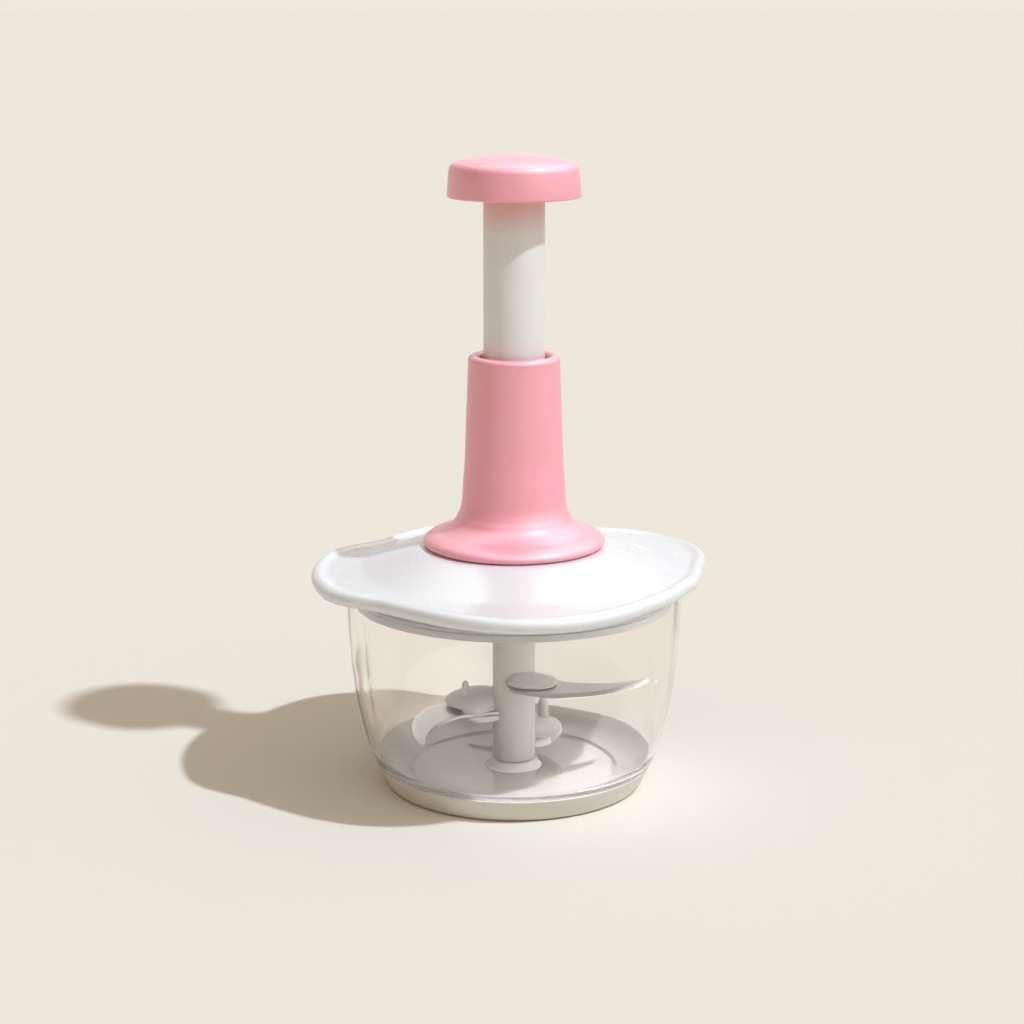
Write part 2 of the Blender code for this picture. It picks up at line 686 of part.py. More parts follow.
def build_blade_shaft(blades, surface):
    """The white shaft with three petals and two pegs. Its foot is bored for a bush and the pin,
    and its top has a hexagonal socket."""
    bush_top = SHAFT_BOTTOM + BUSH_LENGTH + GAP
    pin_room = SHAFT_BOTTOM + PIN_BORE_DEPTH
    outline = [
        (0.0, SHAFT_BOTTOM), (SHAFT_RADIUS - SHAFT_FOOT_ROUND, SHAFT_BOTTOM),
        (SHAFT_RADIUS, SHAFT_BOTTOM + SHAFT_FOOT_ROUND), (SHAFT_RADIUS, SHAFT_TOP), (0.0, SHAFT_TOP),
    ]
    bore = [
        (0.0, SHAFT_BOTTOM - OVERRUN), (BUSH_BORE, SHAFT_BOTTOM - OVERRUN), (BUSH_BORE, bush_top),
        (PIN_BORE, bush_top), (PIN_BORE, pin_room), (0.0, pin_room),
    ]
    shaft = piece("blade_shaft", turned(outline, SMALL_SIDES), blades, SHAFT_BOTTOM, surface)
    for level in range(BLADE_LEVELS):
        combine(shaft, guide(f"petal_{level + 1}", petal(level), blades, SHAFT_BOTTOM), "UNION")
    pegs = (
        ("middle_peg", peg(BLADE_LEVELS - 2, PEG_RADIUS, PEG_TURN)),
        ("lowest_peg", peg(BLADE_LEVELS - 1, LOWEST_PEG_RADIUS, LOWEST_PEG_TURN)),
    )
    for name, shape in pegs:
        combine(shaft, guide(name, shape, blades, SHAFT_BOTTOM), "UNION")
    cuts = [
        turned(bore, SMALL_SIDES),
        hexagon(HEX_ACROSS + 2 * GAP, SHAFT_TOP - SOCKET_DEPTH, SHAFT_TOP + OVERRUN),
    ]
    for level in range(BLADE_LEVELS):
        low = blade_height(level) + BLADE_THICKNESS / 2 + GAP - OVERRUN / 2
        high = blade_height(level) + BLADE_THICKNESS / 2 + GAP + RIVET_BITE
        cuts.append(rivet_holes(level, low, high))
    combine(shaft, guide("shaft_cuts", gathered(cuts), blades, SHAFT_BOTTOM), "DIFFERENCE")


def blade_points(reach):
    """A blade's outline along its arm: an arc round the shaft, the trailing edge out to the tip
    and the bowed leading edge back."""
    inner = SHAFT_RADIUS + GAP
    root = []
    for step in range(BLADE_ROOT_STEPS + 1):
        angle = between(BLADE_ROOT_TO, BLADE_ROOT_FROM, step / BLADE_ROOT_STEPS)
        root.append((inner * math.cos(angle), inner * math.sin(angle)))
    trailing = [(x * reach, y * reach) for x, y in reversed(BLADE_TRAILING_SHARES)]
    leading = [(x * reach, y * reach) for x, y in reversed(BLADE_LEADING_SHARES)]
    return root + trailing + leading


def build_blades(blades, steel, white):
    """Three flat scimitar blades, each between its petal and a clamp below."""
    for level, place in enumerate(ARM_NAMES):
        middle = blade_height(level)
        low = middle - BLADE_THICKNESS / 2
        high = middle + BLADE_THICKNESS / 2
        reach = BLADE_REACH
        if level == BLADE_LEVELS - 1:
            reach = LOWEST_REACH
        holes = rivet_holes(level, low - CLAMP_THICKNESS - OVERRUN, high + OVERRUN)
        holes = guide(f"{place}_rivet_holes", holes, blades, low)
        shape = turned_to(slab(blade_points(reach), low, high), arm_angle(level))
        combine(piece(f"{place}_blade", shape, blades, low, steel), holes, "DIFFERENCE")
        clamp_top = low - GAP
        clamp = rod(CLAMP_RADIUS, clamp_top - CLAMP_THICKNESS, clamp_top, SMALL_SIDES)
        clamp = turned_to(moved_to(clamp, CLAMP_OUT, 0.0), arm_angle(level))
        clamp = piece(f"{place}_clamp", clamp, blades, low, white)
        clamp_low = clamp_top - CLAMP_THICKNESS - OVERRUN
        core = rod(SHAFT_RADIUS + GAP, clamp_low, high, SMALL_SIDES)
        combine(clamp, guide(f"{place}_clamp_bore", core, blades, low), "DIFFERENCE")
        combine(clamp, holes, "DIFFERENCE")


def build_rivets(blades, steel):
    """Two rivets in each arm, with their heads below the clamp."""
    for level, place in enumerate(ARM_NAMES):
        head_top = blade_height(level) - BLADE_THICKNESS / 2 - GAP - CLAMP_THICKNESS - GAP
        head_bottom = head_top - RIVET_HEAD
        shape = headed_rivet(head_bottom, blade_height(level) + BLADE_THICKNESS / 2 + RIVET_BITE)
        copies(f"{place}_rivet", shape, blades, head_bottom, steel, rivet_places(level))


def build_foot_bush(blades, surface):
    """The plain bush in the shaft's foot that runs on the pin."""
    shape = tube(PIN_BORE, BUSH_RADIUS, SHAFT_BOTTOM, SHAFT_BOTTOM + BUSH_LENGTH, SMALL_SIDES)
    piece("foot_bush", shape, blades, SHAFT_BOTTOM, surface)


def lid_outline():
    """The lid shell's section, at a valley of its wavy rim."""
    slope = [
        (between(LID_DECK_RADIUS, LID_DISH_RADIUS, out), between(LID_DISH, LID_DECK, up))
        for out, up in LID_SLOPE_SHARES
    ]
    rim = corner(
        LID_RIM_RADIUS - LID_RIM_ROUND, LID_RIM_CENTRE, LID_RIM_ROUND, LID_RIM_FROM, LID_RIM_TO,
        LID_RIM_STEPS,
    )
    under_edge = between(LID_DISH, LID_DECK, LID_UNDER_SHARES[-1]) - LID_THICKNESS
    under = [(LID_SEAT_INNER, under_edge)]
    for share in reversed(LID_UNDER_SHARES):
        under.append((
            between(LID_SEAT_INNER, LID_DECK_RADIUS, share),
            between(LID_DISH, LID_DECK, share) - LID_THICKNESS + (LID_DISH_DROP * share),
        ))
    deck_under = LID_DECK - LID_THICKNESS
    return (
        [(LID_HOLE_RADIUS, deck_under), (LID_HOLE_RADIUS, LID_DECK), (LID_DECK_RADIUS, LID_DECK)]
        + slope + rim + [(LID_SEAT_OUTER, LID_SEAT), (LID_SEAT_INNER, LID_SEAT)]
        + under + [(LID_DECK_RADIUS, deck_under)]
    )


def lobe(angle):
    """The share of the rise by which the rim stands out at an angle. Each lobe is flat on its
    crest and falls off to its foot by a smooth cubic, and lobes that overlap add up."""
    rise = 0.0
    for middle, crest, foot, share in LID_LOBE_SHARES:
        away = abs((math.degrees(angle) - middle + 180) % 360 - 180)
        fall = min(1.0, max(0.0, (away - crest) / (foot - crest)))
        rise += share * (1 - fall * fall * (3 - 2 * fall))
    return rise


def waved(shape):
    """Pushes the rim out into round lobes. Only what lies beyond the lid's seat moves."""
    for vertex in shape.verts:
        radius = math.hypot(vertex.co.x, vertex.co.y)
        if radius <= LID_SEAT_OUTER:
            continue
        angle = math.atan2(vertex.co.y, vertex.co.x)
        share = min(1.0, (radius - LID_SEAT_OUTER) / (LID_RIM_ROUND / 2))
        stretch = (radius + share * LID_LOBE_RISE * lobe(angle)) / radius
        vertex.co.x *= stretch
        vertex.co.y *= stretch
    return shape


def build_lid_shell(lid, surface):
    """The wavy white lid: a raised deck for the tower, a shallow dish and a thick round rim."""
    shape = waved(turned(lid_outline(), LID_SIDES))
    shell = piece("lid_shell", shape, lid, LID_SEAT, surface)
    roof = between(LID_DISH, LID_DECK, LID_SLOPE_SHARES[1][1])
    bosses = around(
        lambda: rod(LINER_BOSS_RADIUS, PLATE_TOP + GAP, roof - LID_THICKNESS / 2, SCREW_SIDES),
        liner_screw_places(),
    )
    combine(shell, guide("lid_bosses", bosses, lid, LID_SEAT), "UNION")
    liner_holes = around(
        lambda: rod(SCREW_HOLE, PLATE_TOP, PLATE_TOP + GAP + LINER_SCREW_BITE + GAP, SCREW_SIDES),
        liner_screw_places(),
    )
    tower_holes = around(
        lambda: rod(SCREW_HOLE, LID_DECK - LID_THICKNESS - OVERRUN, LID_DECK + OVERRUN, SCREW_SIDES),
        tower_screw_places(),
    )
    holes = gathered([liner_holes, tower_holes])
    combine(shell, guide("lid_holes", holes, lid, LID_SEAT), "DIFFERENCE")


def build_lid_liner(lid, surface):
    """The inner cover: a plate with a skirt that plugs the bowl and a hub for the drive."""
    skirt_inner = LINER_RADIUS - LINER_SKIRT
    skirt_top = between(LID_DISH, LID_DECK, LID_UNDER_SHARES[-1]) - LID_THICKNESS - GAP
    seal_low = SKIRT_BOTTOM + SEAL_RISE
    seal_high = seal_low + SEAL_HEIGHT + 2 * GAP
    groove = LINER_RADIUS - SEAL_DEPTH
    outline = [
        (HUB_BORE, HUB_BOTTOM), (HUB_RADIUS, HUB_BOTTOM), (HUB_RADIUS, PLATE_BOTTOM),
        (skirt_inner, PLATE_BOTTOM), (skirt_inner, SKIRT_BOTTOM), (LINER_RADIUS, SKIRT_BOTTOM),
        (LINER_RADIUS, seal_low), (groove, seal_low), (groove, seal_high), (LINER_RADIUS, seal_high),
        (LINER_RADIUS, skirt_top), (skirt_inner, skirt_top), (skirt_inner, PLATE_TOP),
        (HUB_RADIUS, PLATE_TOP), (HUB_RADIUS, HUB_TOP), (BEARING_SEAT, HUB_TOP),
        (BEARING_SEAT, LEDGE_TOP), (HUB_LEDGE_RADIUS, LEDGE_TOP), (HUB_LEDGE_RADIUS, LEDGE_BOTTOM),
        (BEARING_SEAT, LEDGE_BOTTOM), (BEARING_SEAT, HUB_BOTTOM + HUB_ENTRY),
        (HUB_BORE, HUB_BOTTOM + HUB_ENTRY),
    ]
    liner = piece("lid_liner", turned(outline, BOWL_SIDES), lid, SKIRT_BOTTOM, surface)
    holes = around(
        lambda: rod(SCREW_HOLE, PLATE_BOTTOM - OVERRUN, PLATE_TOP + OVERRUN, SCREW_SIDES),
        liner_screw_places(),
    )
    combine(liner, guide("liner_holes", holes, lid, SKIRT_BOTTOM), "DIFFERENCE")


def build_lid_seal(lid, surface):
    """The soft ring in the skirt's groove."""
    low = SKIRT_BOTTOM + SEAL_RISE + GAP
    inner = LINER_RADIUS - SEAL_DEPTH + GAP
    outer = BOWL_RIM_RADIUS - BOWL_WALL - GAP
    crown = between(inner, outer, SEAL_CROWN_SHARE)
    outline = [
        (inner, low), (crown, low), (outer, low + SEAL_HEIGHT / 2), (crown, low + SEAL_HEIGHT),
        (inner, low + SEAL_HEIGHT),
    ]
    piece("lid_seal", turned(outline, BOWL_SIDES), lid, low, surface)


def tower_outline():
    """The tower's section: a flared foot, a slim taper, a rolled mouth, and a stepped bore."""
    spread = TOWER_FOOT_RADIUS - TOWER_MOUTH_RADIUS
    foot = [
        (TOWER_FOOT_RADIUS + spread * out, TOWER_FOOT + TOWER_HEIGHT * up)
        for out, up in TOWER_FOOT_SHARES
    ]
    side = [
        (TOWER_MOUTH_RADIUS + spread * out, TOWER_FOOT + TOWER_HEIGHT * up)
        for out, up in TOWER_SIDE_SHARES
    ]
    lip_size = (TOWER_MOUTH_RADIUS - TOWER_LIP_RADIUS) / 2
    lip = corner(
        TOWER_MOUTH_RADIUS - lip_size, TOWER_TOP - lip_size, lip_size, 0.0, math.pi, CORNER_STEPS + 1,
    )
    bore = [
        (TOWER_LIP_RADIUS, LIP_STEP), (TOWER_BORE_RADIUS, LIP_STEP), (TOWER_BORE_RADIUS, TOWER_FOOT),
    ]
    return foot + side + lip + bore


def build_tower(lid, surface):
    """The pink tower, with two keys in its bore that stop the plunger from turning."""
    tower = piece("tower_housing", turned(tower_outline(), TOWER_SIDES), lid, TOWER_FOOT, surface)
    for index in range(KEYS):
        middle = TOWER_BORE_RADIUS + OVERRUN - KEY_DEPTH / 2
        key = block(KEY_DEPTH + OVERRUN, KEY_WIDTH, KEY_BOTTOM, KEY_TOP, middle - OVERRUN / 2)
        key = turned_to(key, math.tau * index / KEYS)
        combine(tower, guide(f"tower_key_{index + 1}", key, lid, TOWER_FOOT), "UNION")
    holes = around(
        lambda: rod(SCREW_HOLE, TOWER_FOOT - OVERRUN, TOWER_FOOT + TOWER_SCREW_BITE + GAP, SCREW_SIDES),
        tower_screw_places(),
    )
    combine(tower, guide("tower_holes", holes, lid, TOWER_FOOT), "DIFFERENCE")


def build_lid_fasteners(lid, steel):
    """Screws that hold the tower to the lid, and the liner to the lid, all from below."""
    head = LID_DECK - LID_THICKNESS - GAP - SCREW_HEAD
    shape = screw(head, TOWER_FOOT + TOWER_SCREW_BITE)
    copies("tower_screw", shape, lid, head, steel, tower_screw_places())
    head = PLATE_BOTTOM - GAP - SCREW_HEAD
    shape = screw(head, PLATE_TOP + GAP + LINER_SCREW_BITE)
    copies("liner_screw", shape, lid, head, steel, liner_screw_places())


def build_bearings(lid, brass, steel, white):
    """The drive's bearing and washer, the guide in the tower's mouth, and the spring's seat."""
    low = LEDGE_TOP + GAP
    bearing = tube(BEARING_INNER, BEARING_OUTER, low, HUB_TOP, SMALL_SIDES)
    piece("drive_bearing", bearing, lid, low, brass)
    low = HUB_TOP + GAP
    washer = tube(BEARING_INNER, WASHER_RADIUS, low, low + WASHER_THICKNESS, SMALL_SIDES)
    piece("thrust_washer", washer, lid, low, steel)
    guide_ring = tube(GUIDE_BORE, GUIDE_OUTER, GUIDE_BOTTOM, GUIDE_TOP, TOWER_SIDES)
    piece("guide_bush", guide_ring, lid, GUIDE_BOTTOM, white)
    top = SEAT_BOTTOM + SEAT_THICKNESS
    outline = [
        (0.0, SEAT_BOTTOM), (SEAT_RADIUS, SEAT_BOTTOM), (SEAT_RADIUS, top), (SEAT_BOSS_RADIUS, top),
        (SEAT_BOSS_RADIUS, top + SEAT_BOSS), (0.0, top + SEAT_BOSS),
    ]
    piece("spring_seat", turned(outline, SMALL_SIDES), lid, SEAT_BOTTOM, white)


def build_spring(lid, steel):
    """The return spring inside the tube, one wire from the seat to the tube's ceiling."""
    shape = bmesh.new()
    steps = SPRING_TURNS * SPRING_POINTS
    low = SPRING_BOTTOM + SPRING_WIRE
    high = SPRING_TOP - SPRING_WIRE
    rings = []
    for step in range(steps + 1):
        turn = Matrix.Rotation(math.tau * step / SPRING_POINTS, 3, "Z")
        height = between(low, high, step / steps)
        ring = []
        for side in range(SPRING_WIRE_SIDES):
            angle = math.tau * side / SPRING_WIRE_SIDES
            out = SPRING_RADIUS + SPRING_WIRE * math.cos(angle)
            up = height + SPRING_WIRE * math.sin(angle)
            ring.append(shape.verts.new(turn @ Vector((out, 0.0, up))))
        rings.append(ring)
    piece("return_spring", skinned(shape, rings), lid, SPRING_BOTTOM, steel)


def knob_outline():
    """The knob's section: a round edge, a slight taper, a soft shoulder and a low dome, with a
    hollow below between the outer wall and the socket for the tube."""
    edge = corner(
        KNOB_RADIUS - KNOB_EDGE, KNOB_BOTTOM + KNOB_EDGE, KNOB_EDGE, math.radians(-90), 0.0, 2,
    )
    top_radius = KNOB_RADIUS - KNOB_TAPER
    side = [(top_radius, KNOB_BOTTOM + KNOB_SIDE)]
    shoulder = [
        (top_radius * out, KNOB_BOTTOM + KNOB_HEIGHT * up) for out, up in KNOB_SHOULDER_SHARES
    ]
    roof = KNOB_BOTTOM + KNOB_ROOF
    return (
        edge + side + shoulder + [(0.0, KNOB_BOTTOM + KNOB_HEIGHT), (0.0, SOCKET_TOP)]
        + [(GUIDE_BORE, SOCKET_TOP), (GUIDE_BORE, KNOB_BOTTOM), (KNOB_SOCKET_OUTER, KNOB_BOTTOM)]
        + [(KNOB_SOCKET_OUTER, roof), (KNOB_RADIUS - KNOB_WALL - KNOB_EDGE, roof)]
        + [(KNOB_RADIUS - KNOB_WALL, roof - KNOB_EDGE), (KNOB_RADIUS - KNOB_WALL, KNOB_BOTTOM)]
    )


def build_knob(plunger, surface, steel):
    """The pink press knob with six ribs inside, and the screw that holds it to the tube."""
    outline = knob_outline()
    start = next(index for index, point in enumerate(outline) if point[0] == 0.0)
    outline = outline[start + 1:] + outline[:start + 1]
    knob = piece("press_knob", turned(outline, TOWER_SIDES), plunger, KNOB_BOTTOM, surface)
    rib_in = KNOB_SOCKET_OUTER - OVERRUN
    rib_out = KNOB_RADIUS - KNOB_WALL + OVERRUN
    ribs = []
    for index in range(KNOB_RIBS):
        rib = block(
            rib_out - rib_in, KNOB_RIB_WIDTH, KNOB_BOTTOM + KNOB_WALL,
            KNOB_BOTTOM + KNOB_ROOF + OVERRUN, (rib_in + rib_out) / 2,
        )
        ribs.append(turned_to(rib, math.tau * index / KNOB_RIBS))
    combine(knob, guide("knob_ribs", gathered(ribs), plunger, KNOB_BOTTOM), "UNION")
    hole = rod(SCREW_HOLE, SOCKET_TOP - OVERRUN, SOCKET_TOP + KNOB_SCREW_BITE + GAP, SCREW_SIDES)
    combine(knob, guide("knob_hole", hole, plunger, KNOB_BOTTOM), "DIFFERENCE")
    head = TUBE_CEILING - GAP - SCREW_HEAD
    piece("knob_screw", screw(head, SOCKET_TOP + KNOB_SCREW_BITE), plunger, head, steel)


def build_tube(plunger, surface):
    """The white plunger tube, open below and closed above by a wall with a screw hole."""
    outline = [
        (TUBE_BORE, TUBE_BOTTOM), (TUBE_RADIUS, TUBE_BOTTOM), (TUBE_RADIUS, TUBE_TOP),
        (SCREW_HOLE, TUBE_TOP), (SCREW_HOLE, TUBE_CEILING), (TUBE_BORE, TUBE_CEILING),
    ]
    piece("plunger_tube", turned(outline, TOWER_SIDES), plunger, TUBE_BOTTOM, surface)


def build_stop(plunger, surface):
    """The collar at the tube's foot: it meets the guide when the knob is up, and the tower's
    keys run in its notches."""
    stop = tube(GUIDE_BORE, STOP_OUTER, STOP_BOTTOM, STOP_TOP, TOWER_SIDES)
    stop = piece("stop_collar", stop, plunger, STOP_BOTTOM, surface)
    depth = KEY_DEPTH + RUN_GAP + OVERRUN
    notches = []
    for index in range(KEYS):
        notch = block(
            depth, KEY_WIDTH + 2 * RUN_GAP, STOP_BOTTOM - OVERRUN, STOP_TOP + OVERRUN,
            TOWER_BORE_RADIUS + OVERRUN - depth / 2,
        )
        notches.append(turned_to(notch, math.tau * index / KEYS))
    combine(stop, guide("stop_notches", gathered(notches), plunger, STOP_BOTTOM), "DIFFERENCE")


def build_nut(plunger, surface):
    """The nut in the tube's foot. Its slot twists like the rod, with running room all round."""
    outline = [
        (0.0, NUT_BOTTOM), (TUBE_RADIUS, NUT_BOTTOM), (TUBE_RADIUS, NUT_BOTTOM + NUT_FLANGE),
        (NUT_RADIUS, NUT_BOTTOM + NUT_FLANGE), (NUT_RADIUS, NUT_TOP), (0.0, NUT_TOP),
    ]
    nut = piece("drive_nut", turned(outline, SMALL_SIDES), plunger, NUT_BOTTOM, surface)
    slot = twisted_bar(
        STRIP_WIDTH + 2 * RUN_GAP, STRIP_THICKNESS + 2 * RUN_GAP, NUT_BOTTOM - OVERRUN,
        NUT_TOP + OVERRUN, NUT_SLOT_STEPS, STRIP_BOTTOM,
    )
    combine(nut, guide("nut_slot", slot, plunger, NUT_BOTTOM), "DIFFERENCE")


def build_drive(drive, steel, white, brass):
    """The twisted rod on its round tang, the thrust collar, and the pinned hexagonal driver."""
    strip = twisted_bar(
        STRIP_WIDTH, STRIP_THICKNESS, STRIP_BOTTOM, STRIP_TOP, STRIP_STEPS, STRIP_BOTTOM,
    )
    twisted = piece("twisted_rod", strip, drive, STRIP_BOTTOM, steel)
    tang = rod(TANG_RADIUS, TANG_BOTTOM, STRIP_BOTTOM + OVERRUN, SCREW_SIDES)
    combine(twisted, guide("rod_tang", tang, drive, STRIP_BOTTOM), "UNION")
    bore = TANG_RADIUS + GAP
    outline = [
        (bore, JOURNAL_BOTTOM), (JOURNAL_RADIUS, JOURNAL_BOTTOM), (JOURNAL_RADIUS, FLANGE_BOTTOM),
        (COLLAR_FLANGE_RADIUS, FLANGE_BOTTOM), (COLLAR_FLANGE_RADIUS, FLANGE_TOP), (bore, FLANGE_TOP),
    ]
    piece("rod_collar", turned(outline, SMALL_SIDES), drive, FLANGE_BOTTOM, brass)
    collar = rod(DRIVER_COLLAR_RADIUS, DRIVER_LOW, DRIVER_TOP, SMALL_SIDES)
    driver = piece("hex_driver", collar, drive, DRIVER_LOW, white)
    stem = hexagon(HEX_ACROSS, HEX_BOTTOM, DRIVER_LOW + DRIVER_COLLAR / 2)
    combine(driver, guide("driver_stem", stem, drive, DRIVER_LOW), "UNION")
    tang_hole = rod(bore, TANG_BOTTOM - GAP, DRIVER_TOP + OVERRUN, SCREW_SIDES)
    pin_height = DRIVER_LOW - CROSS_PIN_DROP
    quarter = Matrix.Rotation(math.radians(90), 3, "X")
    pins = []
    for radius, length in (
        (CROSS_PIN_RADIUS + GAP, CROSS_PIN_LENGTH + 2 * OVERRUN), (CROSS_PIN_RADIUS, CROSS_PIN_LENGTH),
    ):
        shape = rod(radius, -length / 2, length / 2, SCREW_SIDES)
        bmesh.ops.rotate(shape, verts=shape.verts, cent=(0, 0, 0), matrix=quarter)
        bmesh.ops.translate(shape, verts=shape.verts, vec=(0.0, 0.0, pin_height))
        pins.append(shape)
    combine(driver, guide("driver_bore", tang_hole, drive, DRIVER_LOW), "DIFFERENCE")
    pin_hole = guide("driver_pin_hole", pins[0], drive, DRIVER_LOW)
    combine(driver, pin_hole, "DIFFERENCE")
    combine(twisted, pin_hole, "DIFFERENCE")
    piece("driver_pin", pins[1], drive, DRIVER_LOW, steel)


def main():
    """Builds the chopper."""
    clear_scene()
    pink = material("pink_plastic", (0.87, 0.42, 0.50), 0.32)
    white = material("white_plastic", (0.88, 0.88, 0.88), 0.25)
    off_white = material("off_white_rubber", (0.80, 0.79, 0.77), 0.55)
    clear = material("clear_plastic", (0.95, 0.94, 0.95), 0.05, clear=1.0)
    steel = material("brushed_steel", (0.62, 0.61, 0.60), 0.30, 1.0)
    brass = material("bearing_brass", (0.72, 0.55, 0.28), 0.35, 1.0)
    soft = material("seal_silicone", (0.83, 0.83, 0.82), 0.50)

    root = frame("bowl_frame", 0.0)
    lid = frame("lid_lift", LID_SEAT, root)
    plunger = frame("plunger_press", TUBE_BOTTOM, lid)
    drive = frame("drive_spin", FLANGE_BOTTOM, lid)
    blades = frame("blade_spin", SHAFT_BOTTOM, root)

    build_base(root, off_white)
    build_bowl(root, clear, steel)
    build_blade_shaft(blades, white)
    build_blades(blades, steel, white)
    build_rivets(blades, steel)
    build_foot_bush(blades, brass)
    build_lid_shell(lid, white)
    build_lid_liner(lid, white)
    build_lid_seal(lid, soft)
    build_tower(lid, pink)
    build_lid_fasteners(lid, steel)
    build_bearings(lid, brass, steel, white)
    build_spring(lid, steel)
    build_knob(plunger, pink, steel)
    build_tube(plunger, white)
    build_stop(plunger, white)
    build_nut(plunger, white)
    build_drive(drive, steel, white, brass)


main()
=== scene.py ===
"""Looks of a plunger food chopper: clear bowl, cup-shaped base, wavy white lid, pink tower and
press knob, white tube, and the shaft with three swept blades. Metres, +Z up, -Y the front."""

import json
import math

import bmesh
import bpy
import numpy as np
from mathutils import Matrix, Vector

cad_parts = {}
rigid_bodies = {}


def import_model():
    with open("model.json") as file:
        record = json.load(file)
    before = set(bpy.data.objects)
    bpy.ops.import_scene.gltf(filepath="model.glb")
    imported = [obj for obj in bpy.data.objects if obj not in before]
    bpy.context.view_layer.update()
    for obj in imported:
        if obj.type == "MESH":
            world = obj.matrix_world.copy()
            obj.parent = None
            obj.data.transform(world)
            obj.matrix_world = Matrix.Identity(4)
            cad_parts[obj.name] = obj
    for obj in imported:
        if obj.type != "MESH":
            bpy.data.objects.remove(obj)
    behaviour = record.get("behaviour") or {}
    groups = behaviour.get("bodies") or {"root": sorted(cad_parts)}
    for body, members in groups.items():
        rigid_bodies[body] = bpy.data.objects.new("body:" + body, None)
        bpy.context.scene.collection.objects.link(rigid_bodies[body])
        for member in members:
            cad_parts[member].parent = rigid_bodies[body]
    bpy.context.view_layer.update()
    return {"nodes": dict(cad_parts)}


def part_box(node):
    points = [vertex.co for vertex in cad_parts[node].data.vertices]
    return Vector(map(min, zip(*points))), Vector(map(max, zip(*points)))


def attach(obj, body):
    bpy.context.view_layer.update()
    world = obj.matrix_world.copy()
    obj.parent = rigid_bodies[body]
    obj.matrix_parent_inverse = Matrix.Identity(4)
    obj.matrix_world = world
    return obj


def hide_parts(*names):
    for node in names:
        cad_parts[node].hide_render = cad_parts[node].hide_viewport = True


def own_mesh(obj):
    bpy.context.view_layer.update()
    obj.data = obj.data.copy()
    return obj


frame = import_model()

bl_info = {
    "name": "Plunger Food Chopper",
    "version": (1, 0, 0),
    "blender": (4, 5, 0),
    "location": "View3D > Sidebar > Chopper",
    "description": "Builds the visible surfaces of a hand food chopper around its solids",
    "category": "Add Mesh",
}

MM = 0.001
ROUND_SIDES = 192

# Millimetres of steel left at the edge of a ground blade
EDGE_LEFT = 0.18

# The way that each blade's arm points, seen from above
ARM_TURNS = {"upper": math.radians(-60), "middle": math.radians(180), "lower": math.radians(60)}


def low_of(node):
    """The lowest height of a solid, in millimetres."""
    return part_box(node)[0][2] / MM


def high_of(node):
    """The highest height of a solid, in millimetres."""
    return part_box(node)[1][2] / MM


# Curves


def through(points, steps=6):
    """A smooth curve through points. Between two points it is the cubic whose slope at each is
    half the step from the point before to the point after."""
    points = np.asarray(points, float)
    padded = np.vstack([2 * points[0] - points[1], points, 2 * points[-1] - points[-2]])
    before, start, end, after = (padded[i:len(padded) - 3 + i, None] for i in range(4))
    t = np.linspace(0, 1, steps, endpoint=False)[None, :, None]
    curve = 0.5 * (
        2 * start + (end - before) * t + (2 * before - 5 * start + 4 * end - after) * t ** 2
        + (3 * start - before - 3 * end + after) * t ** 3
    )
    return np.vstack([curve.reshape(-1, points.shape[1]), points[-1:]])


def rounded(points, cuts, steps=5):
    """A polyline with its corners rounded. At each inner corner the arc is the quadratic curve
    whose ends lie a cut's length along both sides and whose middle point is the corner."""
    points = np.asarray(points, float)
    cuts = np.broadcast_to(np.asarray(cuts, float), (len(points),))[1:-1, None]
    corner = points[1:-1]
    back = points[:-2] - corner
    ahead = points[2:] - corner
    start = corner + cuts * back / np.linalg.norm(back, axis=1, keepdims=True)
    end = corner + cuts * ahead / np.linalg.norm(ahead, axis=1, keepdims=True)
    t = np.linspace(0, 1, steps)[None, :, None]
    arcs = start[:, None] * (1 - t) ** 2 + 2 * corner[:, None] * t * (1 - t) + end[:, None] * t ** 2
    line = np.vstack([points[:1], arcs.reshape(-1, points.shape[1]), points[-1:]])
    apart = np.linalg.norm(np.diff(line, axis=0), axis=1) > 1e-6
    return line[np.concatenate([[True], apart])]


def arc(centre, radius, start, end, steps=10):
    """Points on a circle's arc, between two angles in degrees."""
    turn = np.radians(np.linspace(start, end, steps))
    return np.column_stack([centre[0] + radius * np.cos(turn), centre[1] + radius * np.sin(turn)])


def ease(value, low, high):
    """0 below low, 1 above high, and the smooth cubic 3t^2 - 2t^3 between."""
    t = np.clip((np.asarray(value, float) - low) / (high - low), 0, 1)
    return t * t * (3 - 2 * t)


# Surfaces


def angles(sides=ROUND_SIDES):
    """Evenly spaced angles once round."""
    return np.linspace(0, math.tau, sides, endpoint=False)


def lathe(outline, turns, swell=0.0):
    """A surface of revolution: x = r cos t, y = r sin t, z as the outline gives it, where r is the
    outline's radius plus a swell that may vary along both the outline and the turn."""
    outline = np.asarray(outline, float)
    radius = outline[:, :1] + swell * np.ones((len(outline), len(turns)))
    height = np.broadcast_to(outline[:, 1:], radius.shape)
    return np.stack([radius * np.cos(turns), radius * np.sin(turns), height], axis=-1)


def turned(grid, turn):
    """The grid swung about the vertical axis by an angle."""
    cos, sin = math.cos(turn), math.sin(turn)
    x, y, z = grid[..., 0], grid[..., 1], grid[..., 2]
    return np.stack([x * cos - y * sin, x * sin + y * cos, z], axis=-1)


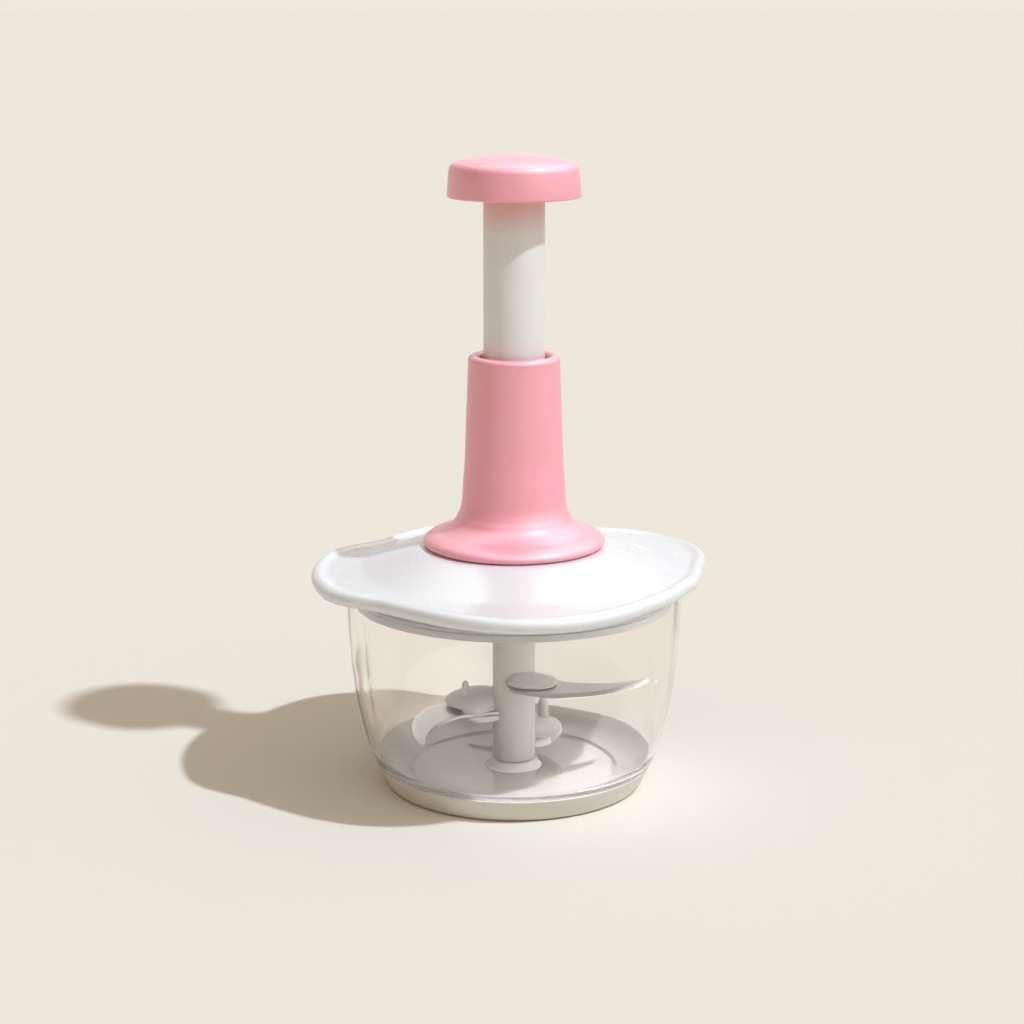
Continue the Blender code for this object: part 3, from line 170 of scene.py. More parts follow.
def shell(grid, round_rows=False, capped=False):
    """Points, quads and texture places of a grid of points. Each row closes on itself, the columns
    may too, and the first and last row may be capped."""
    rows, columns = grid.shape[:2]
    index = np.arange(rows * columns).reshape(rows, columns)
    index = np.column_stack([index, index[:, :1]])
    if round_rows:
        index = np.vstack([index, index[:1]])
    quads = np.stack([index[:-1, :-1], index[:-1, 1:], index[1:, 1:], index[1:, :-1]], axis=-1)
    faces = quads.reshape(-1, 4).tolist()
    if capped:
        faces += [index[0, :columns][::-1].tolist(), index[rows - 1, :columns].tolist()]
    along, across = np.linspace(0, 1, rows), np.linspace(0, 1, columns)
    share = np.stack(np.meshgrid(along, across, indexing="ij"), axis=-1)
    return grid.reshape(-1, 3), faces, share.reshape(-1, 2)


def plate(first, second, low, high, edge, grind=0.0):
    """A thin plate between two curves. Each section runs from the first curve to the second on
    top and back below, its corners rounded off, and the second edge can be ground down on top."""
    share = np.concatenate([[0.0, 0.004, 0.02], np.linspace(0.05, 0.95, 14), [0.98, 0.996, 1.0]])
    width = np.linalg.norm(second - first, axis=1)[:, None] + 1e-9
    to_edge = np.minimum(share, 1 - share)[None] * width
    round_off = edge * (1 - np.sqrt(np.clip(1 - (1 - np.clip(to_edge / edge, 0, 1)) ** 2, 0, 1)))
    ground = np.clip(1 - (1 - share[None]) * width / max(grind, 1e-9), 0, 1) * (grind > 0)
    top = high - round_off * 0.9 - ground * (high - low - EDGE_LEFT)
    under = low + round_off * 0.9
    under = np.minimum(under, top - 0.02)
    flat = first[:, None] * (1 - share[None, :, None]) + second[:, None] * share[None, :, None]
    over = np.concatenate([flat, top[..., None]], axis=-1)
    below = np.concatenate([flat, under[..., None]], axis=-1)[:, ::-1]
    return shell(np.concatenate([over, below], axis=1), capped=True)


def mesh_of(name, shells, sharp=38.0):
    """One mesh from several shells in millimetres, merged where points meet and facing outwards."""
    points, faces, places, count = [], [], [], 0
    for some_points, some_faces, some_places in shells:
        points.append(some_points)
        places.append(some_places)
        faces += [[corner + count for corner in face] for face in some_faces]
        count += len(some_points)
    mesh = bpy.data.meshes.new(name)
    mesh.from_pydata((np.vstack(points) * MM).tolist(), [], faces)
    corners = np.empty(len(mesh.loops), int)
    mesh.loops.foreach_get("vertex_index", corners)
    layer = mesh.uv_layers.new(name="Grain")
    layer.data.foreach_set("uv", np.vstack(places)[corners].ravel())
    work = bmesh.new()
    work.from_mesh(mesh)
    bmesh.ops.remove_doubles(work, verts=work.verts, dist=1e-6)
    bmesh.ops.dissolve_degenerate(work, edges=work.edges, dist=1e-7)
    bmesh.ops.recalc_face_normals(work, faces=work.faces)
    work.to_mesh(mesh)
    work.free()
    mesh.shade_smooth()
    mesh.set_sharp_from_angle(angle=math.radians(sharp))
    return mesh


def place(name, shells, body, material, replaced=(), sharp=38.0):
    """Makes a piece that rides on a body, takes a slot's finish and stands for solids."""
    obj = bpy.data.objects.new(name, mesh_of(name, shells, sharp))
    bpy.context.scene.collection.objects.link(obj)
    obj.data.materials.append(material)
    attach(obj, body)
    if replaced:
        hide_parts(*replaced)
    return obj


def dress(material, *nodes):
    """Gives solids that are shown as they are a material."""
    for node in nodes:
        obj = frame["nodes"][node]
        if not obj.material_slots:
            obj.data.materials.append(material)
        for held in obj.material_slots:
            held.material = material


# Materials


class Wire:
    """A node's output that shader maths can be written with."""

    def __init__(self, shades, socket):
        self.shades = shades
        self.socket = socket

    def __add__(self, other):
        return self.shades.maths("ADD", self, other)

    def __mul__(self, other):
        return self.shades.maths("MULTIPLY", self, other)

    def __sub__(self, other):
        return self.shades.maths("SUBTRACT", self, other)

    def __rsub__(self, other):
        return self.shades.maths("SUBTRACT", other, self)

    __radd__ = __add__
    __rmul__ = __mul__


class Shades:
    """The nodes of a material, a lamp or the world."""

    def __init__(self, owner):
        self.owner = owner
        owner.use_nodes = True
        self.tree = owner.node_tree
        self.tree.nodes.clear()

    def node(self, kind, settings=None, inputs=None, output=0):
        """Adds a node: its settings first, then the values or links of its inputs."""
        made = self.tree.nodes.new(kind)
        for key, value in (settings or {}).items():
            setattr(made, key, value)
        for key, value in (inputs or {}).items():
            if isinstance(value, Wire):
                self.tree.links.new(value.socket, made.inputs[key])
            else:
                made.inputs[key].default_value = value
        return Wire(self, made.outputs[output])

    def maths(self, operation, *values):
        """A Math node on wires and numbers."""
        return self.node("ShaderNodeMath", {"operation": operation}, dict(enumerate(values)))

    def spot(self, stretch=(1, 1, 1), grain=False):
        """The place on the piece, stretched: object coordinates, or the mesh's own grain map."""
        if grain:
            at = self.node("ShaderNodeUVMap", {"uv_map": "Grain"})
        else:
            at = self.node("ShaderNodeTexCoord", output="Object")
        return self.node("ShaderNodeMapping", {}, {"Vector": at, "Scale": stretch})

    def noise(self, scale, detail=2.0, rough=0.5, stretch=(1, 1, 1), grain=False):
        """Soft noise from 0 to 1."""
        inputs = {"Vector": self.spot(stretch, grain), "Scale": scale, "Detail": detail, "Roughness": rough}
        return self.node("ShaderNodeTexNoise", {}, inputs)

    def above(self, wire, low, high):
        """0 where a wire is below low, 1 where it is above high."""
        inputs = {0: wire, 1: low, 2: high, 3: 0.0, 4: 1.0}
        return self.node("ShaderNodeMapRange", {"clamp": True}, inputs)

    def coordinate(self, axis):
        """One coordinate on the object, in metres."""
        at = self.node("ShaderNodeTexCoord", output="Object")
        return self.node("ShaderNodeSeparateXYZ", {}, {0: at}, axis)

    def reach(self):
        """The distance from the upright axis, in metres."""
        at = self.node("ShaderNodeTexCoord", output="Object")
        flat = self.node("ShaderNodeVectorMath", {"operation": "MULTIPLY"}, {0: at, 1: (1.0, 1.0, 0.0)})
        return self.node("ShaderNodeVectorMath", {"operation": "LENGTH"}, {0: flat}, "Value")

    def mix(self, share, first, second):
        """A colour between two colours."""
        inputs = {0: share, 6: first, 7: second}
        return self.node("ShaderNodeMix", {"data_type": "RGBA"}, inputs, 2)

    def scratches(self, scale, along, across, amount=0.1):
        """Thin wandering lines: where two stretched noises cross their middle value."""
        line = self.noise(scale, 3.0, 0.6, (along, across, across))
        near = self.maths("ABSOLUTE", line - 0.5)
        patch = self.above(self.noise(scale * 0.35, 1.0), 0.52, 0.66)
        return (1 - self.above(near, 0.0, 0.012)) * patch * amount

    def bump(self, height, distance, strength=1.0):
        """A normal from a height that varies from 0 to 1 over a distance in metres."""
        inputs = {"Strength": strength, "Distance": distance, "Height": height}
        return self.node("ShaderNodeBump", {}, inputs, "Normal")

    def surface(self, **inputs):
        """A Principled shader, with input names written with underscores."""
        named = {key.replace("_", " "): value for key, value in inputs.items()}
        return self.node("ShaderNodeBsdfPrincipled", {}, named)

    def towards(self, way, aim):
        """The cosine between a direction and an aim."""
        return self.node("ShaderNodeVectorMath", {"operation": "DOT_PRODUCT"}, {0: way, 1: aim}, "Value")

    def ray(self, kind):
        """What Light Path says about the ray."""
        return self.node("ShaderNodeLightPath", output=kind)

    def either(self, share, first, second):
        """A shader between two shaders."""
        return self.node("ShaderNodeMixShader", {}, {0: share, 1: first, 2: second})

    def finish(self, shader, output="ShaderNodeOutputMaterial"):
        """Ends the nodes in their output and returns what holds them."""
        end = self.tree.nodes.new(output)
        self.tree.links.new(shader.socket, end.inputs["Surface"])
        return self.owner


def tone(colour, share=1.0):
    """A colour with its alpha, darkened or lightened by a share."""
    return (colour[0] * share, colour[1] * share, colour[2] * share, 1.0)


def moulded(name, colours, roughness, coat, peel_depth=0.00004, glow=0.0, gloss=0.5, painted_by_height=None):
    """Moulded plastic: a slow drift between two tones, orange peel, fine grain and faint handling
    marks. The colour can turn to another one from one height to the next, which paints light and
    shade by height: bounced pink light on the tube's top, shade at the shaft's foot."""
    colour, shade = colours
    s = Shades(bpy.data.materials.new(name))
    drift = s.above(s.noise(38.0, 3.0, 0.55), 0.3, 0.75)
    peel = s.noise(520.0, 2.0, 0.45)
    grain = s.noise(3200.0, 1.0)
    marks = s.scratches(70.0, 1.0, 9.0) + s.scratches(110.0, 8.0, 1.0, 0.08)
    smudge = s.above(s.noise(85.0, 4.0, 0.6), 0.45, 0.8)
    base = s.mix(drift * 0.55, tone(colour), tone(shade))
    base = s.mix(marks * 0.9, base, tone(colour, 0.82))
    # Painted light and shade by height: the colour turns to another tone between two heights
    if painted_by_height:
        first, last, other = painted_by_height
        base = s.mix(s.above(s.coordinate("Z"), first, last), base, tone(other))
    rough = roughness + peel * 0.05 + smudge * 0.07 + marks * 1.2
    normal = s.bump(peel * 0.7 + grain * 0.25 - marks * 2.0, peel_depth)
    return s.finish(s.surface(
        Base_Color=base, Roughness=rough, Normal=normal, Coat_Weight=coat, Coat_Roughness=0.12,
        Subsurface_Weight=glow, Subsurface_Radius=(0.004, 0.0025, 0.002), IOR=1.49,
        Specular_IOR_Level=gloss,
    ))


def rubbery(name, colours, roughness):
    """Soft matt rubber: fine pitted grain, a slow drift between two tones and rubbed patches that
    are smoother, and darker where they touch the table."""
    colour, shade = colours
    s = Shades(bpy.data.materials.new(name))
    drift = s.noise(45.0, 3.0)
    pits = s.noise(1700.0, 3.0, 0.6)
    rub = s.above(s.noise(120.0, 4.0, 0.65), 0.5, 0.78)
    foot = 1 - s.above(s.coordinate("Z"), 0.0002, 0.0016)
    base = s.mix(drift, tone(colour), tone(shade))
    base = s.mix(foot * rub, base, tone(shade, 0.80))
    rough = roughness + pits * 0.12 - rub * 0.10
    normal = s.bump(pits, 0.00005)
    return s.finish(s.surface(Base_Color=base, Roughness=rough, Normal=normal, IOR=1.45))


def clear_moulding(name, colours, roughness, spans):
    """Clear plastic that bends what is seen through it and lets lamp light through: a slight
    mould flow, fine scuffs and a faint tint. At the back its inner bottom corner carries painted
    shade: a darker opaque band standing in for the shaded base seen through the thick corner. The
    boss round the pin is frosted, and its underside shows the rubber that it sits on. The spans
    are shares of the outline: where the underside ends, and where the corner starts and ends."""
    s = Shades(bpy.data.materials.new(name))
    flow = s.noise(26.0, 2.0, 0.5, (1.0, 1.0, 0.35))
    scuffs = s.scratches(60.0, 1.0, 6.0, 0.12) + s.scratches(95.0, 7.0, 1.0, 0.1)
    haze = s.above(s.noise(150.0, 4.0, 0.6), 0.55, 0.85)
    frost = 1 - s.above(s.reach(), 0.0120, 0.0132)
    rough = roughness + scuffs * 0.9 + haze * 0.015 + frost * 0.38
    normal = s.bump(flow, 0.00035)
    glass = s.surface(
        Base_Color=tone(colours.clear), Roughness=rough, Normal=normal, Transmission_Weight=1.0,
        IOR=1.46,
    )
    clear = s.node("ShaderNodeBsdfTransparent", {}, {"Color": (0.95, 0.945, 0.95, 1.0)})
    see_through = s.either(s.ray("Is Shadow Ray"), glass, clear)
    under, low, high = spans
    along = s.node("ShaderNodeSeparateXYZ", {}, {0: s.spot(grain=True)}, "X")
    in_corner = s.above(along, low, low + 0.006) * (1 - s.above(along, high - 0.002, high))
    # Painted shade: at the back the inner corner becomes a darker opaque band, standing in for the shaded
    # base seen through the thick corner; the boss is frosted pale
    shade_at_back = s.above(s.coordinate("Y"), -0.024, 0.004)
    shade_and_frost = in_corner * (0.86 + haze * 0.1) * shade_at_back + frost * 0.7
    below = 1 - s.above(along, under - 0.002, under)
    corner_shade_and_frost = s.mix(frost, tone(colours.corner_shade), tone(colours.pale))
    soft = s.surface(Base_Color=s.mix(below, corner_shade_and_frost, tone(colours.backing)), Roughness=0.45)
    return s.finish(s.either(s.maths("MAXIMUM", shade_and_frost, below), see_through, soft))


def brushed(name, colour, roughness, along_map=False):
    """Brushed metal: fine lines, along the blade on its grain map and round the axis elsewhere,
    with water spots and a slow drift of tone."""
    s = Shades(bpy.data.materials.new(name))
    stretch = (1.5, 90.0, 1.0) if along_map else (6.0, 6.0, 160.0)
    lines = s.noise(9.0 if along_map else 14.0, 4.0, 0.7, stretch, along_map)
    drift = s.noise(60.0, 2.0)
    spots = s.above(s.noise(240.0, 2.0), 0.62, 0.72)
    base = s.mix(lines * 0.7 + drift * 0.2, tone(colour, 1.08), tone(colour, 0.80))
    base = s.mix(spots * 0.25, base, tone(colour, 0.9))
    rough = roughness + lines * 0.16 + spots * 0.08
    normal = s.bump(lines, 0.00003)
    return s.finish(s.surface(Base_Color=base, Roughness=rough, Metallic=1.0, Normal=normal))


def paper_floor(name, colour):
    """A matt pale sweep with the faintest tooth."""
    s = Shades(bpy.data.materials.new(name))
    tooth = s.noise(180.0, 4.0, 0.6)
    drift = s.noise(1.4, 2.0)
    base = s.mix(drift * 0.5 + tooth * 0.3, tone(colour), tone(colour, 0.985))
    normal = s.bump(tooth, 0.00003)
    return s.finish(s.surface(Base_Color=base, Roughness=0.9, Normal=normal, Specular_IOR_Level=0.0))


# Settings


def colour_setting(title, about, value):
    """A colour property."""
    return bpy.props.FloatVectorProperty(
        name=title, description=about, default=value, size=3, min=0.0, max=1.0, subtype="COLOR"
    )


def length_setting(title, about, value):
    """A length property in metres."""
    return bpy.props.FloatProperty(
        name=title, description=about, default=value, min=0.0, precision=5, unit="LENGTH"
    )


def angle_setting(title, about, degrees):
    """An angle property, whose default is given in degrees."""
    return bpy.props.FloatProperty(
        name=title, description=about, default=math.radians(degrees), subtype="ANGLE"
    )


def strength_setting(title, about, value):
    """A lamp's strength."""
    return bpy.props.FloatProperty(name=title, description=about, default=value, min=0.0)


def place_setting(title, about, value):
    """A place in metres."""
    return bpy.props.FloatVectorProperty(
        name=title, description=about, default=value, size=3, precision=5, subtype="TRANSLATION",
        unit="LENGTH",
    )


class ChopperColours(bpy.types.PropertyGroup):
    """Colours of the chopper's plastics and metals."""

    pink: colour_setting("Pink", "Tower and press knob", (0.89, 0.365, 0.44))
    pink_shade: colour_setting("Pink shade", "Slow tone drift in the pink", (0.87, 0.345, 0.41))
    white: colour_setting("White", "Lid and its liner", (0.79, 0.814, 0.83))
    white_shade: colour_setting("White shade", "Slow tone drift in the lid", (0.774, 0.797, 0.812))
    shaft: colour_setting("Shaft", "Blade shaft, leaves and clamps", (0.69, 0.65, 0.615))
    shaft_shade: colour_setting("Shaft shade", "Slow tone drift in the shaft", (0.665, 0.625, 0.59))
    # Painted shade: the shaft darkens to this tone at its foot, where the lid's shade falls inside the bowl
    shaft_foot_shade: colour_setting("Shaft foot", "The shaft's tone at its foot", (0.445, 0.419, 0.397))
    pale: colour_setting("Pale", "Tube and inner parts", (0.775, 0.76, 0.735))
    pale_shade: colour_setting("Pale shade", "Slow tone drift in the tube", (0.75, 0.73, 0.70))
    # Painted light: pink light bounced from the knob, painted onto the tube's top as a colour
    tube_pink_bounce: colour_setting("Tube top", "The tube's tone under the pink knob", (0.80, 0.50, 0.46))
    seal: colour_setting("Seal", "Silicone ring in the liner's groove", (0.83, 0.83, 0.82))
    seal_shade: colour_setting("Seal shade", "Slow tone drift in the seal", (0.79, 0.79, 0.78))
    base: colour_setting("Base", "Rubbery base cup", (0.72, 0.68, 0.62))
    base_shade: colour_setting("Base shade", "Slow tone drift in the base", (0.685, 0.645, 0.585))
    clear: colour_setting("Clear tint", "Tint of the clear bowl", (0.985, 0.965, 0.95))
    # Painted shade: a darker colour for the back of the bowl's inner corner, standing in for the shaded base
    # seen through it
    corner_shade: colour_setting("Milky corner", "Colour of the bowl's thick bottom corner", (0.58, 0.535, 0.49))
    backing: colour_setting("Backing", "Base seen through the bowl's floor", (0.79, 0.745, 0.71))
    steel: colour_setting("Steel", "Blades, pin, screws and spring", (0.72, 0.69, 0.665))
    brass: colour_setting("Brass", "Bearings and bush", (0.72, 0.55, 0.28))

    def pair(self, name):
        """A colour and the shade that it drifts to."""
        return getattr(self, name), getattr(self, f"{name}_shade")


class ChopperSizes(bpy.types.PropertyGroup):
    """Sizes of the details that the solids leave plain."""

    rib: length_setting("Rib height", "How far a stirring rib stands off the bowl's wall", 0.0002)
    rib_width: length_setting("Rib width", "Half width of a stirring rib", 0.003)
    grind: length_setting("Blade grind", "Width of the ground edge of a blade", 0.0032)
    long_blade: length_setting("Long blade", "Reach of the upper and middle blades", 0.0618)
    short_blade: length_setting("Short blade", "Reach of the lower blade", 0.0575)
    wall: length_setting("Bowl wall", "Thickness of the bowl's side", 0.0025)
    wire: length_setting("Spring wire", "Radius of the return spring's wire", 0.00065)
    stroke: length_setting("Stroke", "How far the plunger goes down", 0.063)
    lobe: length_setting("Lid lobe", "How far the lid's largest lobe reaches out", 0.0135)


class ChopperStage(bpy.types.PropertyGroup):
    """Light, floor and camera."""

    floor: colour_setting("Floor", "Colour of the pale sweep", (0.847, 0.815, 0.731))
    seen: colour_setting("Seen", "Brightness that glossy surfaces see all around", (1.0, 1.0, 1.0))
    key: strength_setting("Key", "Power of the key lamp", 23.2)
    key_colour: colour_setting("Key colour", "Colour of the key lamp", (0.823, 0.896, 1.0))
    key_place: place_setting("Key place", "Where the key lamp stands", (0.860, -0.475, 1.500))
    key_radius: length_setting("Key radius", "Radius of the key lamp, which softens shadows", 0.028)
    soft: strength_setting("Soft light", "Strength of the soft top light", 0.75)
    soft_colour: colour_setting("Soft colour", "Colour of the soft top light", (1.0, 0.87, 0.74))
    soft_turn: angle_setting("Soft turn", "Azimuth of the soft top light", -30)
    soft_rise: angle_setting("Soft rise", "Elevation of the soft top light", 68)
    soft_spread: angle_setting("Soft spread", "Softness of the soft top light", 110)
    fill: colour_setting("Fill", "Light from all around", (0.30, 0.282, 0.254))
    fill_left: colour_setting("Left fill", "Light from the left", (0.31, 0.205, 0.145))
    camera_place: place_setting("Camera place", "Where the camera stands", (-0.0009, -0.9325, 0.3366))
    camera_tilt: angle_setting("Camera tilt", "The camera's turn up from straight down", 77)


# Pieces


def sky_lamp(name, strength, colour, turn, rise, spread):
    """A far lamp whose light falls alike everywhere, from an azimuth and an elevation."""
    lamp = bpy.data.lights.new(name, "SUN")
    lamp.energy = strength
    lamp.angle = spread
    lamp.color = colour
    obj = bpy.data.objects.new(name, lamp)
    obj.rotation_euler = (0.0, math.pi / 2 - rise, turn)
    bpy.context.scene.collection.objects.link(obj)


def near_lamp(name, strength, colour, place_at, radius):
    """A small lamp near the object whose light falls alike on the whole floor: it doesn't fade
    with distance, and its strength goes with one over the slope of each ray."""
    lamp = bpy.data.lights.new(name, "POINT")
    lamp.energy = strength
    lamp.shadow_soft_size = radius
    lamp.color = colour
    s = Shades(lamp)
    steady = s.node("ShaderNodeLightFalloff", {}, {"Strength": 1.0}, "Constant")
    way = s.node("ShaderNodeNewGeometry", output="Incoming")
    slope = s.maths("ABSOLUTE", s.node("ShaderNodeSeparateXYZ", {}, {0: way}, "Z"))
    glow = s.node("ShaderNodeEmission", {}, {"Strength": s.maths("DIVIDE", steady, slope)})
    s.finish(glow, "ShaderNodeOutputLight")
    obj = bpy.data.objects.new(name, lamp)
    obj.location = place_at
    bpy.context.scene.collection.objects.link(obj)


# Brightness that glossy surfaces see between the softboxes
DIM_SHINE = 0.2

# Each softbox that glossy surfaces see: the way to it, the cosines between which it rises, and how
# bright it is
SOFTBOXES = (
    ((0.0, 1.0, 0.0), -0.1, 0.5, 0.75), ((0.29, -0.10, 0.95), 0.25, 0.95, 4.0),
    ((0.88, -0.42, 0.22), 0.55, 0.95, 1.3), ((0.0, -1.0, 0.0), 0.2, 0.9, 0.4),
)


def studio_air(name, stage):
    """The world: the floor's colour for the camera, softboxes for glossy rays, and else a fill that
    is warmer from the left. Rays through clear plastic see the floor's colour too, but not those
    that left a matt surface, which would light the bowl from inside."""
    s = Shades(bpy.data.worlds.new(name))
    way = s.node("ShaderNodeTexCoord", output="Generated")
    level = DIM_SHINE
    for aim, low, high, strength in SOFTBOXES:
        inputs = {0: s.towards(way, aim), 1: low, 2: high, 3: 0.0, 4: strength}
        level = level + s.node("ShaderNodeMapRange", {"interpolation_type": "SMOOTHSTEP"}, inputs)
    shine = s.node("ShaderNodeBackground", {}, {"Color": tone(stage.seen), "Strength": level})
    from_left = s.above(s.towards(way, (-1.0, 0.0, 0.0)), 0.1, 0.9)
    fill_colour = s.mix(from_left, tone(stage.fill), tone(stage.fill_left))
    fill = s.node("ShaderNodeBackground", {}, {"Color": fill_colour})
    behind = s.node("ShaderNodeBackground", {}, {"Color": tone(stage.floor)})
    through_clear = s.maths("LESS_THAN", s.ray("Diffuse Depth"), 0.5) * s.ray("Is Transmission Ray")
    seen = s.maths("MAXIMUM", s.ray("Is Camera Ray"), through_clear)
    air = s.either(s.ray("Is Glossy Ray"), s.either(seen, fill, behind), shine)
    return s.finish(air, "ShaderNodeOutputWorld")


# Half the floor's side in metres, so that its far edge meets the horizon
FLOOR_REACH = 120.0

# The lens: its focal length and the image's width in pixels, and the sensor's width in millimetres
FOCAL_PIXELS, IMAGE_PIXELS, SENSOR = 2200.0, 1024.0, 36.0


class CHOPPER_OT_stage(bpy.types.Operator):
    """Makes the floor, the key light, the fill from all around and the camera"""

    bl_idname = "chopper.stage"
    bl_label = "Stage"

    def execute(self, context):
        scene = context.scene
        stage = scene.chopper_stage
        corners = np.array([(-1, -1, 0), (1, -1, 0), (1, 1, 0), (-1, 1, 0)]) * FLOOR_REACH
        mesh = bpy.data.meshes.new("floor")
        mesh.from_pydata(corners.tolist(), [], [(0, 1, 2, 3)])
        mesh.materials.append(paper_floor("pale_sweep", stage.floor))
        floor = bpy.data.objects.new("floor", mesh)
        scene.collection.objects.link(floor)

        near_lamp("key", stage.key, stage.key_colour, stage.key_place, stage.key_radius)
        soft_way = (stage.soft_turn, stage.soft_rise)
        sky_lamp("soft", stage.soft, stage.soft_colour, *soft_way, stage.soft_spread)
        scene.world = studio_air("fill", stage)

        lens = bpy.data.cameras.new("camera")
        lens.sensor_width = SENSOR
        lens.lens = FOCAL_PIXELS / IMAGE_PIXELS * SENSOR
        lens.clip_end = 200.0
        camera = bpy.data.objects.new("camera", lens)
        camera.location = stage.camera_place
        camera.rotation_euler = (stage.camera_tilt, 0.0, 0.0)
        scene.collection.objects.link(camera)
        scene.camera = camera
        scene.view_settings.view_transform = "Standard"
        return {"FINISHED"}


def bowl_side():
    """The bowl's outer side in millimetres, from the seam to just under the rim."""
    return through([
        (61.3, 10.5), (64.7, 18.4), (67.3, 28.7), (69.9, 41.3), (71.3, 52.3), (72.4, 62.5),
        (73.0, 76.0), (73.2, 91.2),
    ], 8)


# Where the three stirring ribs stand in degrees, and the inner wall's radius there
RIB_TURNS = (-32.5, 87.5, 207.5)
RIB_RADIUS = 70.0


class CHOPPER_OT_bowl(bpy.types.Operator):
    """Makes the clear bowl and its pin: lathe surfaces. The bowl's inner wall swells inwards at
    three ribs by a bell curve of the distance round, faded out at both ends"""

    bl_idname = "chopper.bowl"
    bl_label = "Bowl"

    def execute(self, context):
        sizes = context.scene.chopper_sizes
        colours = context.scene.chopper_colours
        side = bowl_side()
        rim = arc((71.95, 90.75), 1.25, 0, 180, 9)
        middle, radius = (46.0, 23.6), 17.0
        inner = side[side[:, 1] > 20.5][::-1] - (sizes.wall / MM, 0.0)
        inner = np.vstack([inner, arc(middle, radius, -14, -31, 6)[:-1]])
        corner = arc(middle, radius, -31, -88, 40)
        steps = rounded([
            (45.6, 6.6), (44.0, 6.6), (43.5, 6.5), (40.6, 6.5), (40.1, 6.4), (37.4, 6.4),
            (36.9, 6.3), (30.0, 6.3),
        ], [0] + [0.2] * 6 + [0], 4)
        boss = through([
            (22.0, 6.25), (13.6, 6.25), (12.0, 6.5), (11.2, 7.3), (10.6, 8.8), (9.9, 9.6), (7.0, 9.75),
        ], 5)
        bore = [(3.3, 9.75), (3.3, 5.4), (0.0, 5.4)]
        foot = np.vstack([[(0.0, 3.5)], arc((53.5, 9.5), 6.0, -90, 0, 8), [(59.5, 10.4), (59.9, 10.6)]])
        outline = np.vstack([foot, side, rim, inner, corner, steps, boss, bore])
        to_inner = len(foot) + len(side) + len(rim)
        to_corner = to_inner + len(inner)

        turns = angles(432)
        wall = np.zeros(len(outline))
        up = outline[to_inner:to_corner, 1]
        wall[to_inner:to_corner] = ease(up, 30, 48) * (1 - ease(up, 76, 86))
        apart = turns[None] - np.radians(RIB_TURNS)[:, None]
        away = np.angle(np.exp(1j * apart)) * RIB_RADIUS
        bell = np.exp(-(away / (sizes.rib_width / MM)) ** 2).sum(axis=0)
        swell = -wall[:, None] * bell[None] * sizes.rib / MM
        spans = np.array([len(foot) - 1, to_corner, to_corner + len(corner)]) / (len(outline) - 1)
        clear = clear_moulding("clear_plastic_look", colours, 0.02, spans)
        grid = lathe(outline, turns, swell)
        place("clear_bowl", [shell(grid)], "bowl", clear, ["bowl"])

        steel = brushed("pin_steel_look", colours.steel, 0.24)
        pin = rounded([(0.0, 5.7), (3.0, 5.7), (3.0, 34.7), (0.0, 34.7)], [0, 0.3, 0.8, 0])
        grid = lathe(pin, angles(48))
        place("pivot_pin_turned", [shell(grid)], "bowl", steel, ["pivot_pin"])
        return {"FINISHED"}


class CHOPPER_OT_base(bpy.types.Operator):
    """Makes the base cup: a lathe surface with a round foot, a flank that widens up to a thin lip
    under the seam, and shallow rings in the underside"""

    bl_idname = "chopper.base"
    bl_label = "Base"

    def execute(self, context):
        colours = context.scene.chopper_colours
        under = rounded([
            (0.0, 0.5), (30.0, 0.5), (30.6, 0.0), (41.0, 0.0), (41.3, 0.45), (42.7, 0.45), (43.0, 0.0),
            (47.0, 0.0), (47.3, 0.45), (48.7, 0.45), (49.0, 0.0), (53.4, 0.0), (53.7, 0.4), (55.4, 0.4),
        ], 0.12, 3)
        outer = arc((55.4, 2.3), 1.9, -86, -28, 12)
        lip = rounded([
            (57.35, 2.0), (59.0, 5.2), (60.2, 8.0), (61.0, 10.2), (59.8, 10.2), (59.8, 9.5),
        ], [0, 1.4, 1.2, 0.35, 0.3, 0], 5)
        inner = arc((53.5, 9.5), 6.3, 0, -90, 10)
        outline = np.vstack([under, outer, lip, inner, [(0.0, 3.2)]])
        look = rubbery("base_rubber_look", colours.pair("base"), 0.42)
        grid = lathe(outline, angles(240))
        place("base_cup", [shell(grid)], "bowl", look, ["non_slip_base"])
        return {"FINISHED"}


# Each lobe: middle, half width of its crest and of its foot in degrees, and share of the rise
LOBES = (
    (35, 6, 45, 1.0), (105, 6, 42, 0.64), (183, 20, 44, 0.68), (277, 2, 46, 0.66), (352, 3, 14, 0.13),
)


def lobes(turns):
    """The share of the rise by which the lid's rim stands out at each angle: for each lobe 1 on
    its crest, falling to 0 at its foot by the cubic 1 - 3t^2 + 2t^3, times the lobe's share."""
    rise = np.zeros(len(turns))
    for middle, crest, foot, share in LOBES:
        away = np.abs((np.degrees(turns) - middle + 180) % 360 - 180)
        rise += share * (1 - ease(away, crest, foot))
    return rise


